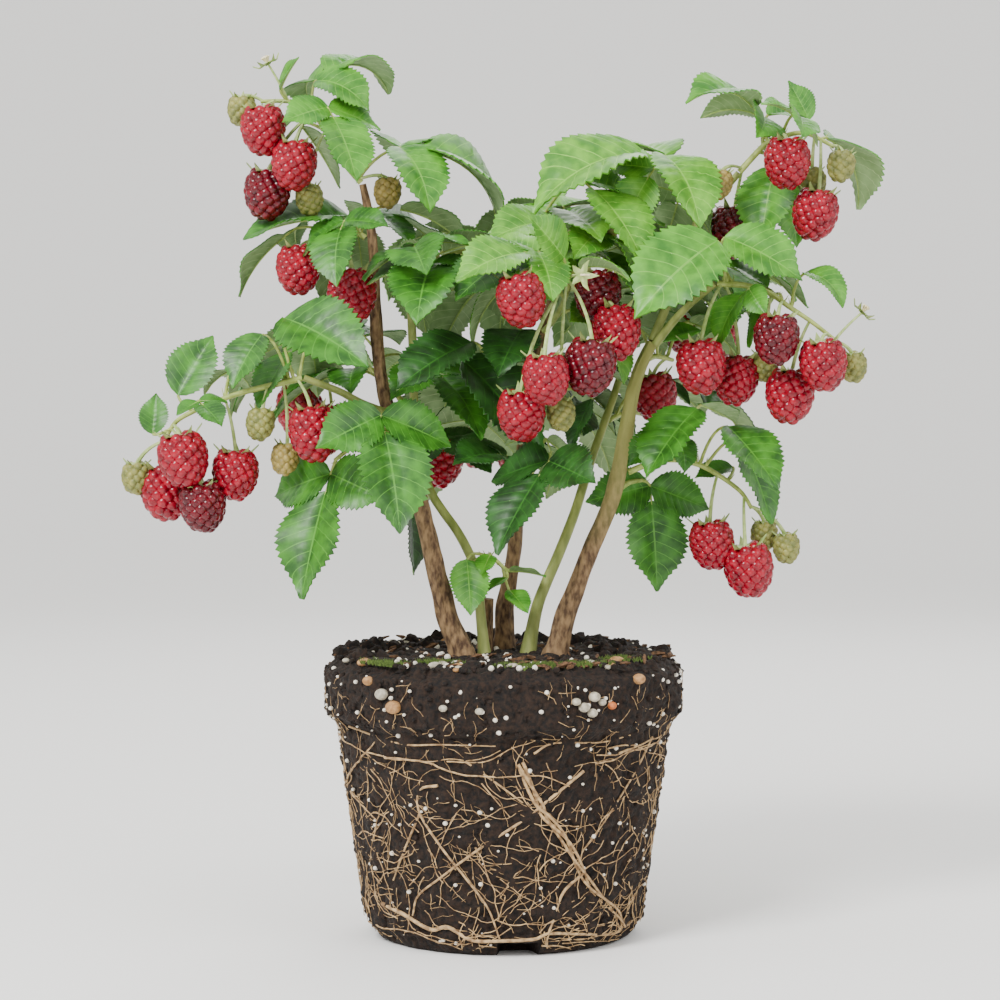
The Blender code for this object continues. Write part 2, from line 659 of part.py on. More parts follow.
def clear_start(course, foot, carrier):
    """The course from where a stem of that foot radius stands clear of its carrier's surface."""
    fine = [a.lerp(b, step / START_STEPS) for a, b in zip(course, course[1:])
            for step in range(START_STEPS)]
    for point, ahead in zip(fine, fine[1:]):
        ahead = (ahead - point).normalized()
        side = ahead.cross(OFF_AXIS).normalized()
        other = ahead.cross(side)
        spots = [point]
        for k in range(START_SPOTS):
            turn = 2 * math.pi * k / START_SPOTS
            spots.append(point + (side * math.cos(turn) + other * math.sin(turn)) * foot)
        clear = True
        for spot in spots:
            nearest, normal, _, distance = carrier.find_nearest(spot)
            clear = clear and distance >= GAP * MM and (spot - nearest).dot(normal) > 0
        if clear:
            reach = (point - course[0]).length + foot * 2
            return [point, *[p for p in course[1:] if (p - course[0]).length > reach]]
    return course


def shape_object(name, points, faces, paint, collection=None):
    """A mesh object of one shape with one material."""
    mesh = bpy.data.meshes.new(name)
    mesh.from_pydata([tuple(p) for p in points], [], faces)
    mesh.materials.append(material(*paint))
    mesh.shade_smooth()
    mesh.set_sharp_from_angle(angle=math.radians(SHARP_EDGE))
    thing = bpy.data.objects.new(name, mesh)
    (collection or bpy.context.scene.collection).objects.link(thing)
    return thing


def material(name, colour, roughness):
    """A plain Principled material, made once."""
    made = bpy.data.materials.get(name)
    if made is None:
        made = bpy.data.materials.new(name)
        made.use_nodes = True
        shader = made.node_tree.nodes["Principled BSDF"]
        shader.inputs["Base Color"].default_value = (*colour, 1.0)
        shader.inputs["Roughness"].default_value = roughness
        shader.inputs["Metallic"].default_value = 0.0
        made.diffuse_color = (*colour, 1.0)
    return made


def drop_scraps(mesh):
    """Keeps only the largest connected shell, so sealed hollows are filled and loose scraps go."""
    work = bmesh.new()
    work.from_mesh(mesh)
    unseen = set(work.verts)
    shells = []
    while unseen:
        shell, edge = set(), [unseen.pop()]
        while edge:
            vertex = edge.pop()
            shell.add(vertex)
            for link in vertex.link_edges:
                other = link.other_vert(vertex)
                if other in unseen:
                    unseen.remove(other)
                    edge.append(other)
        shells.append(shell)
    biggest = max(shells, key=len)
    bmesh.ops.delete(work, geom=[v for shell in shells if shell is not biggest for v in shell],
                     context="VERTS")
    work.to_mesh(mesh)
    work.free()


def fused(name, stem, growths):
    """One object: the stem with all the leaves and fruit joined to it."""
    body = shape_object(name, *stem, FOLIAGE)
    others = bpy.data.collections.new(name + "_parts")
    bpy.context.scene.collection.children.link(others)
    for i, growth in enumerate(growths):
        shape_object(f"{name}_{i}", growth.points, growth.stalk + growth.body, FOLIAGE, others)
    join = body.modifiers.new("join", "BOOLEAN")
    join.operation = "UNION"
    join.operand_type = "COLLECTION"
    join.collection = others
    # The exact solver leaves loose bits and edges of four faces where stalks crowd a stem
    join.solver = "MANIFOLD"
    bpy.context.view_layer.update()
    graph = bpy.context.evaluated_depsgraph_get()
    whole = bpy.data.meshes.new_from_object(body.evaluated_get(graph))
    body.modifiers.clear()
    old = body.data
    body.data = whole
    whole.name = name
    bpy.data.meshes.remove(old)
    for part in list(others.objects):
        bpy.data.objects.remove(part)
    bpy.data.collections.remove(others)
    drop_scraps(whole)


def ball_profile():
    """The root ball's outline from its underside to the middle of its top: radius and height."""
    wall = WALL_TOP_RADIUS - FOOT_RADIUS
    rows = [(FOOT_RADIUS - FOOT_ROUNDING, 0.0), (FOOT_RADIUS - 1.5, FOOT_ROUNDING * 0.45)]
    for share in WALL_ROWS:
        rows.append((FOOT_RADIUS + wall * share, COLLAR_FOOT_HEIGHT * share))
    rows += [(RIM_RADIUS - 1.0, COLLAR_FOOT_HEIGHT + 2.5), (RIM_RADIUS, RIM_HEIGHT - 14),
             (RIM_RADIUS - 1.5, RIM_HEIGHT - 3), (RIM_RADIUS - 9, RIM_HEIGHT + 1)]
    rows += [(RIM_RADIUS - 26, SOIL_LEVEL - 1), (SEAT_RADIUS + 9, SOIL_LEVEL),
             (SEAT_RADIUS, SOIL_LEVEL)]
    return rows


def root_ball():
    """The ball of soil and roots: rough wall, moulded collar, clods on top, flat seat and foot."""
    points, faces = [], []
    profile = ball_profile()
    for radius, height in profile:
        for k in range(BALL_SEGMENTS):
            angle = 2 * math.pi * k / BALL_SEGMENTS
            out = Vector((math.cos(angle), math.sin(angle), 0))
            spot = out * radius + Vector((0, 0, height))
            if 0.0 < height:
                spot += out * noise.noise(spot / WALL_GRAIN) * BALL_ROUGHNESS
            if RIM_RADIUS - 30 < radius and height > RIM_HEIGHT - 4:
                spot.z += max(-0.3, noise.noise(spot / CLOD_SPACING)) * CLOD_HEIGHT
            points.append(mm(spot))
    for ring in range(len(profile) - 1):
        low, high = ring * BALL_SEGMENTS, (ring + 1) * BALL_SEGMENTS
        for k in range(BALL_SEGMENTS):
            nxt = (k + 1) % BALL_SEGMENTS
            faces.append((low + k, low + nxt, high + nxt, high + k))
    faces.append(tuple(reversed(range(BALL_SEGMENTS))))
    faces.append(tuple(range(len(points) - BALL_SEGMENTS, len(points))))
    ball = shape_object("root_ball", points, faces, SOIL)
    for i in range(NOTCH_COUNT):
        add_notch(ball, i)
    return ball


def add_notch(ball, index):
    """One notch that the pot's foot left in the underside's edge."""
    bpy.ops.mesh.primitive_cube_add(size=1)
    cutter = bpy.context.object
    cutter.name = f"notch_cutter_{index}"
    reach = RIM_RADIUS - NOTCH_INNER_RADIUS
    sizes = Vector((reach, NOTCH_WIDTH, 2 * NOTCH_HEIGHT)) * MM
    angle = math.radians(NOTCH_START) + 2 * math.pi * index / NOTCH_COUNT
    middle = NOTCH_INNER_RADIUS + reach / 2
    cutter.data.transform(Matrix.Diagonal((*sizes, 1)))
    cutter.data.transform(Matrix.Translation((middle * MM, 0, 0)))
    cutter.data.transform(Matrix.Rotation(angle, 4, "Z"))
    cutter.hide_render = True
    cutter.display_type = "WIRE"
    cut = ball.modifiers.new(f"notch_{index}", "BOOLEAN")
    cut.operation = "DIFFERENCE"
    cut.object = cutter


def limb_radii(limb, course):
    """The limb's radius at each point, with a flare where a cane stands on the soil."""
    radii = tapered(course, limb.foot * MM, limb.tip * MM)
    if limb.grows_from == "root_ball":
        run = 0.0
        for i, point in enumerate(course):
            run += (point - course[i - 1]).length if i else 0.0
            radii[i] *= 1 + FLARE * math.exp(-run / (FLARE_RUN * MM))
    return radii


def grow_limbs(space):
    """Builds every cane and bough."""
    for limb in LIMBS:
        points = [mm(p) for p in limb.course]
        stands = limb.grows_from == "root_ball"
        if stands:
            points[0].z = (SOIL_LEVEL + GAP) * MM
        course = smooth_course(points, 2)
        if not stands:
            course = clear_start(course, limb.foot * MM, space.stalks[limb.grows_from][0])
        points, faces = tube(course, limb_radii(limb, course), limb.sides, flat_foot=stands)
        shape_object(limb.name, points, faces, limb.paint)
        space.add(limb.name, points, faces, [])


def place_leaf(space, spray, course, leaf, seed, by_rule, growths):
    """Adds the leaf at the first turn where it stands clear, or with fewer leaflets, or not at all."""
    node, _ = along(course, leaf.at)
    for kept in ((0, 1, 2), (0, 1), (0, 2), (0,)):
        for turn in TURNS:
            tried = turned(leaf, node, turn, by_rule)
            hub = mm(tried.hub)
            blades = leaflets_of(tried, hub, random.Random(seed))
            if by_rule and not in_crown([b.base + b.ahead * b.length for b in blades]):
                continue
            blades = [blades[i] for i in kept if i < len(blades)]
            growth = leaf_solid(node, hub, blades, RULED_STATIONS if by_rule else LAID_STATIONS)
            if space.clear(spray.name, growth):
                growths.append(growth)
                space.add(spray.name, *growth)
                return


def place_berry(space, spray, course, berry, ripe, seed, growths):
    """Adds a berry on its hanging stalk, at the first shift where it stands clear."""
    share, *spot = berry
    rng = random.Random(seed)
    width, length, sides = RIPE if ripe else UNRIPE
    scale = rng.uniform(*BERRY_SIZES) * MM
    lean = Vector((rng.uniform(-BERRY_LEAN, BERRY_LEAN), rng.uniform(-BERRY_LEAN, BERRY_LEAN),
                   1)).normalized()
    node, _ = along(course, share)
    for shift in BERRY_SHIFTS:
        centre = mm(spot) + mm(shift)
        growth = berry_solid(node, centre, width * scale, length * scale, lean, sides)
        if space.clear(spray.name, growth, of_own=False):
            growths.append(growth)
            space.add(spray.name, *growth)
            return


def grow_sprays(space):
    """Builds every spray: first what is laid by hand, then the leaves dealt by rule."""
    stems, growths = {}, {}
    for spray in SPRAYS:
        course = smooth_course([mm(p) for p in spray.course], 2)
        course = clear_start(course, SPRAY_STEM_RADIUS * MM, space.stalks[spray.grows_from][0])
        stem = tube(course, tapered(course, SPRAY_STEM_RADIUS * MM, SPRAY_TIP_RADIUS * MM),
                    SPRAY_STEM_SIDES)
        space.add(spray.name, *stem, [])
        stems[spray.name], growths[spray.name] = (course, stem), []
    for spray in SPRAYS:
        for kind, berries in (("ripe", spray.ripe), ("unripe", spray.unripe)):
            for i, berry in enumerate(berries):
                place_berry(space, spray, stems[spray.name][0], berry, kind == "ripe",
                            f"{spray.name} {kind} {i}", growths[spray.name])
    for spray in SPRAYS:
        for i, leaf in enumerate(spray.leaves):
            place_leaf(space, spray, stems[spray.name][0], leaf, f"{spray.name} leaf {i}", False,
                       growths[spray.name])
    for spray in SPRAYS:
        course = stems[spray.name][0]
        for i in range(spray.fill):
            seed = f"{spray.name} fill {i}"
            leaf = rule_leaf(spray, course, i, random.Random(seed))
            place_leaf(space, spray, course, leaf, seed, True, growths[spray.name])
    for spray in SPRAYS:
        fused(spray.name, stems[spray.name][1], growths[spray.name])


def main():
    for old in list(bpy.data.objects):
        bpy.data.objects.remove(old)
    root_ball()
    space = Space()
    grow_limbs(space)
    grow_sprays(space)


main()
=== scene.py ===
"""Raspberry plant on its root ball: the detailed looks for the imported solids.

Lengths are in millimetres in the tables and in metres in the scene, +Z up. The origin is the
centre of the root ball's flat underside. -Y is the side with the most fruit.
"""

import math
import random
from typing import NamedTuple

import bpy
from mathutils import Matrix, Vector, noise
from mathutils.bvhtree import BVHTree


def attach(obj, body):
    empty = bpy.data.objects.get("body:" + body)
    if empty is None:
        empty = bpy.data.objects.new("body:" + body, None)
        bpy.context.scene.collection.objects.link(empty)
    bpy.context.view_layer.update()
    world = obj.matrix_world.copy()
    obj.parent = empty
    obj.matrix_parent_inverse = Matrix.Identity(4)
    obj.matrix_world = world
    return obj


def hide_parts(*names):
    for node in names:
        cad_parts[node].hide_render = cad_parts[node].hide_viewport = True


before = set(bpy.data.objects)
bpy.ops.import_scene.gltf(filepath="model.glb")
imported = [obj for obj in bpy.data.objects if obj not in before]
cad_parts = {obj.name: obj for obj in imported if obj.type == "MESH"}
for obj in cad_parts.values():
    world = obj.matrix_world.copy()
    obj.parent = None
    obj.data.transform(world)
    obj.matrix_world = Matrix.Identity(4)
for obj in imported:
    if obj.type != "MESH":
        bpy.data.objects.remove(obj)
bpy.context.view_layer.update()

bl_info = {
    "name": "Raspberry plant",
    "version": (1, 0, 0),
    "blender": (4, 5, 0),
    "location": "View3D > Sidebar > Raspberry",
    "description": "Grows the canes, leaves, fruit and root ball of a raspberry plant",
    "category": "Add Mesh",
}

MM = 0.001
GAP = 0.3
GOLDEN_ANGLE = 137.5
SEED_TURN = 47.0
OFF_AXIS = Vector((0.31, 0.87, 0.12))
SHARP_ANGLE = 60.0
BARK, GREEN_STEM = "bark", "green_stem"

# Root ball, as it leaves a three-litre nursery pot
RIM_RADIUS = 95.0
WALL_TOP_RADIUS = 88.0
FOOT_RADIUS = 72.0
COLLAR_FOOT_HEIGHT = 112.0
RIM_HEIGHT = 143.0
SOIL_LEVEL = 146.0
FOOT_ROUNDING = 8.0
NOTCH_COUNT = 4
NOTCH_WIDTH = 22.0
NOTCH_HEIGHT = 7.0
NOTCH_INNER_RADIUS = 52.0
NOTCH_START = -84.0
COLLAR_STEP = 5.0
COLLAR_INSET = 1.0
RIM_ROUNDING = 3.0
RIM_SLOPE = 1.6
TOP_INSET = 6.0

# The ball's surface: its grid, and the spacing and height of its crumbs
BALL_SIDES = 430
UNDERSIDE_RADII = (0.5, 20.0, 45.0, 60.0)
SIDE_ROWS = 120
SIDE_ROW = 1.2
TOP_ROWS = 41
TOP_ROW = 2.2
CRUMBS = ((13, 1.9), (5, 1.7), (2.6, 1.3))
CRUMB_SINK = 1.4
TOP_CLOD_SPACING = 9.0
TOP_CLOD_HEIGHT = 3.2
TOP_CRUMB_SHARE = 0.9

# Thick roots on the front: radius, then points across and up the ball's side
BRAID_STRANDS = 3
BRAID_RADIUS = 0.95
BRAID_SPREAD = 1.5
BRAID_TWIST = 0.22
BRAID = ((8, 100), (17, 80), (21, 73), (31, 60), (39, 44), (46, 32), (57, 19), (61, 9))
FRONT_ROOTS = (
    (0.7, (-19, 101), (-2, 89), (17, 74)),
    (0.85, (40, 95), (21, 80), (11, 72), (-14, 55), (-31, 41), (-43, 30), (-46, 19)),
    (0.8, (-33, 88), (-42, 85), (-42, 73), (-31, 56), (-19, 41), (-8, 26), (-2, 10)),
    (1.15, (-62, 22), (-51, 19), (-37, 13), (-28, 15), (-16, 9), (-2, 9), (15, 9.5), (23, 12),
     (41, 10), (56, 7), (66, 11)),
    (0.85, (40, 42), (30, 33), (25, 19), (22, 10), (22, 4)),
    (0.7, (-42, 73), (-50, 53), (-56, 36)),
    (0.6, (-79, 113), (-52, 108), (-31, 109), (-4, 109)),
    (0.6, (15, 105), (25, 110), (48, 109), (64, 111)),
    (0.6, (76, 108), (66, 90), (51, 68), (40, 54)),
    (0.4, (-11, 90), (3, 73)),
    (0.55, (67, 90), (70, 80), (72, 68)),
)
FRONT_ROOT_STEPS = 8
FRONT_ROOT_TAPER = 0.6
FRONT_ROOT_SIDES = 7

# Pebbles in the front of the collar: across, up, radius and paint
COLLAR_PEBBLES = ((36, 131, 2.4, 0), (40, 128, 3.0, 0), (45, 133, 3.2, 0), (44, 125, 2.8, 0),
                  (49, 130, 2.2, 0), (54, 128, 2.5, 2), (-61, 133, 3.6, 0), (-55, 127, 4.2, 1),
                  (-30, 128, 2.2, 0), (-12, 127, 2.2, 0), (-68, 139, 3.0, 1), (68, 140, 3.4, 1))
BEAD_SIDES, PEBBLE_SIDES = (5, 8), (8, 10)
SIDE_BEADS, TOP_BEADS = 420, 110
SIDE_CRUMBS, TOP_CRUMBS, BACK_CLODS = 1300, 620, 90
TOP_PEBBLES = 46
CHIPS = 120
MOSS_PATCHES = 6
MOSS_TUFTS = 60
MOSS_BLADES = 9
MOSS_BLADE_WIDTH = 0.45

# Leaves
LEAF_THICKNESS_SHARE = 0.014
LEAF_WIDTH_SHARE = 0.72
LAID_STATIONS = ((0.36, 0.98), (0.72, 0.66))
RULED_STATIONS = ((0.46, 0.96),)
BLADE_FOLD = 16.0
SIDE_LEAFLET_SHARE = 0.76
SIDE_LEAFLET_SCATTER = (0.9, 1.06)
SIDE_DROOP_SHARE = 0.8
SIDE_DROOP_SCATTER = (-6, 10)
SPREAD_SCATTER = (-4, 8)
RACHIS_SHARE = 0.17
BLADE_ROWS = 34
BLADE_COLUMNS = 4
POINT_START = 0.7
POINT_PINCH = 0.5
LEAST_WIDTH = 0.02
VEINS = 9
VEIN_SWEEP = 0.16
VEIN_WIDTH = 0.1
MIDRIB_WIDTH = 0.014
TOOTH = 0.07
TOOTH_REACH = 0.1
MARGIN_WAVE = (0.01, 0.03)
RIB_RADII = (0.55, 0.2)
RIB_DEPTH = 1.6

# Stalks: radius at foot and tip, and how they rise and bend over
STALK_RADII = (0.95, 0.7)
RACHIS_RADII = (0.7, 0.55)
STALK_ARCH = 0.12
STALK_PULL = 0.45
BRACT_TURNS = (55, -55)
BRACT_RADII = (0.5, 0.35, 0.1)

# Fruit: width and length
RIPE = (24.0, 27.0)
UNRIPE = (14.0, 16.0)
RIPE_DRUPELETS = 74
UNRIPE_DRUPELETS = 46
DRUPELET_CAP = 112.0
DRUPELET_SWELL = 1.3
DRUPELET_SINK = 0.8
CORE_SHARE = 0.42
CORE_SIDES = (8, 12)
SKIN_SHARE = 0.86
WIDEST_AT = 0.62
SHOULDER = 0.5
BERRY_STEPS = 200
FRUIT_STALK_RADII = (0.75, 1.1)
FRUIT_STALK_AT = 0.44
BERRY_SIZES = (0.94, 1.06)
BERRY_LEAN = 0.2

# Sepals: how many, their reach as a share of the berry's width, and their rows of points, each
# as shares of that reach: how far out, how wide and how high
SEPALS = 5
SEPAL_REACH = 0.52
SEPAL_ROWS = ((0.0, 0.5, 0.0), (0.3, 1.0, 0.09), (0.65, 0.7, 0.04), (1.0, 0.06, 0.35))
SEPAL_WIDTH = 0.22
SEPAL_KEEL = 0.5
SEPAL_THICKNESS = 0.35

# Spent blossoms: the spray, the place on its stem, and where the blossom stands
BLOSSOMS = (("spray_tip_left", 0.8, (-121, -14, 452)), ("spray_fruit_front", 0.95, (39, -72, 342)),
            ("spray_arm_right", 0.97, (182, -38, 324)))
BLOSSOM_REACH = 8.0
BLOSSOM_STALK_RADII = (0.8, 0.6)
STAMENS = 26
STAMEN_LENGTH = 4.2
STAMEN_RADII = (0.22, 0.3)
ANTHER_RADIUS = 0.55

# Sprays
SPRAY_STEM_RADIUS = 1.7
SPRAY_TIP_RADIUS = 1.0
BERRY_SHIFTS = ((0, 0, 0), (0, -5, 0), (0, 5, 0), (5, 0, 0), (-5, 0, 0), (0, -10, -4), (0, 10, -4))
TURNS = (0, 14, -14, 30, -30, 50, -50, 75, -75)
MATCH = 0.6
START_STEPS = 60
START_SPOTS = 12

# Canes
CANE_SIDES = 24
FLARE = 0.4
FLARE_RUN = 8.0
GREENING = (0.2, 0.27)
BARK_RIPPLES, STEM_RIPPLES = 260, 120

# The rule that deals out leaves: degrees, and shares of the spray's blade length
HEADING_SCATTER = 18
BLADE_SCATTER = (0.82, 1.12)
STALK_RISE = (8, 48)
BLADE_FALL = (28, 58)
STALK_SHARE = (0.55, 0.8)
RULED_DROOP = (28, 55)
RULED_TILT = (5, 40)
FIRST_RULED = 0.7
RULED_SPACE = 0.4

# Camera, as the photograph was taken, and the soft lights: place, width and watts
CAMERA_PLACE = (-0.0018, -1.55, 0.30)
CAMERA_AIM = (-0.0018, 0.0, 0.227)
CAMERA_LENS = 106.9
LAMPS = {
    "key": ((-0.9, -1.3, 1.5), 0.7, 55),
    "fill": ((1.2, -1.0, 0.9), 1.0, 9),
    "back": ((0.3, 1.4, 1.3), 1.0, 12),
}
LAMP_AIM = (0, 0, 0.25)
SKY_STRENGTH = 1.25

# Floor, in metres: it bends up into a wall a long way behind
FLOOR_FRONT = -15.0
FLOOR_HALF_WIDTH = 20.0
WALL_TOP = 12.0
SWEEP_START = 2.0
SWEEP_BEND = 2.5
SWEEP_STEPS = 16


class Roots(NamedTuple):
    """A kind of root dealt out at random: count, ranges of length and radius, and its wander."""

    count: int
    length: tuple
    radius: tuple
    wander: float


FINE_ROOTS = Roots(430, (12, 55), (0.16, 0.36), 0.45)
LEVEL_ROOTS = Roots(26, (50, 150), (0.3, 0.6), 0.2)
BACK_ROOTS = Roots(40, (60, 130), (0.6, 1.0), 0.25)
COLLAR_FIBRES = Roots(900, (12, 16), (0.1, 0.22), 0.7)
ROOT_STEP = 3.0
ROOT_SINK = 0.4
ROOT_TAPER = 0.45


class Limb(NamedTuple):
    """A cane or bough: its course, and its radius at foot and tip, in millimetres."""

    name: str
    paint: tuple
    course: tuple
    foot: float
    tip: float
    grows_from: str = "root_ball"


class Leaf(NamedTuple):
    """A leaf: where its stalk leaves the stem, the hub its leaflets meet at, and how it hangs.

    Its upper side leans by tilt from level towards the heading in facing. Its side leaflets
    stand out from the end one by spread.
    """

    at: float
    hub: tuple
    heading: float
    pitch: float
    blade: float
    droop: float = 38.0
    leaflets: int = 3
    tilt: float = 0.0
    spread: float = 70.0
    facing: float = -90.0


class Spray(NamedTuple):
    """A mass of foliage: one stem with leaves, berries, and more leaves dealt out by rule."""

    name: str
    grows_from: str
    course: tuple
    leaves: tuple = ()
    ripe: tuple = ()
    unripe: tuple = ()
    fill: int = 0
    fill_blade: float = 44.0
    seed: int = 1


LIMBS = (
    Limb("cane_left", BARK,
         ((-21, -14, 146), (-28, -15, 165), (-36, -19, 197), (-45, -17, 233), (-54, -11, 259),
          (-62, -5, 282), (-66, -3, 312), (-67, -4, 350), (-70, -5, 377), (-73, -6, 391)), 5.4, 1.8),
    Limb("cane_right", BARK,
         ((27, -12, 146), (32, -12, 165), (43, -12, 196), (54, -12, 222), (61, -12, 248),
          (66, -11, 279), (71, -10, 296), (77, -9, 309)), 5.2, 2.9),
    Limb("cane_centre", BARK,
         ((0, 26, 146), (1, 27, 168), (5, 28, 194), (8, 27, 225), (11, 25, 262), (17, 22, 300),
          (27, 20, 338)), 4.8, 1.9),
    Limb("shoot_right", GREEN_STEM,
         ((13, 8, 146), (18, 10, 171), (28, 14, 195), (38, 21, 220), (47, 28, 248),
          (58, 38, 278), (70, 54, 314)), 3.3, 1.8),
    Limb("sucker_left", GREEN_STEM,
         ((-10, -2, 146), (-12, 0, 167), (-15, 4, 191), (-25, 11, 211), (-38, 15, 230),
          (-46, 13, 258), (-47, 6, 297), (-48, -4, 326)), 2.6, 2.2),
    Limb("cane_stub", BARK, ((-10, 17, 146), (-9, 17, 160), (-8, 16, 174)), 3.4, 2.8),
    Limb("bough_right_top", GREEN_STEM,
         ((77, -9, 309), (86, -3, 331), (95, 0, 350), (102, -1, 376), (114, -2, 388),
          (122, -4, 397)), 2.4, 1.7, grows_from="cane_right"),
    Limb("bough_right_arm", GREEN_STEM,
         ((74, -10, 302), (86, -16, 318), (96, -24, 329), (108, -32, 339)), 2.2, 1.7,
         grows_from="cane_right"),
    Limb("bough_left_arm", GREEN_STEM,
         ((-56, -10, 271), (-73, -24, 278), (-84, -29, 284), (-102, -32, 291)), 2.2, 1.7,
         grows_from="cane_left"),
)

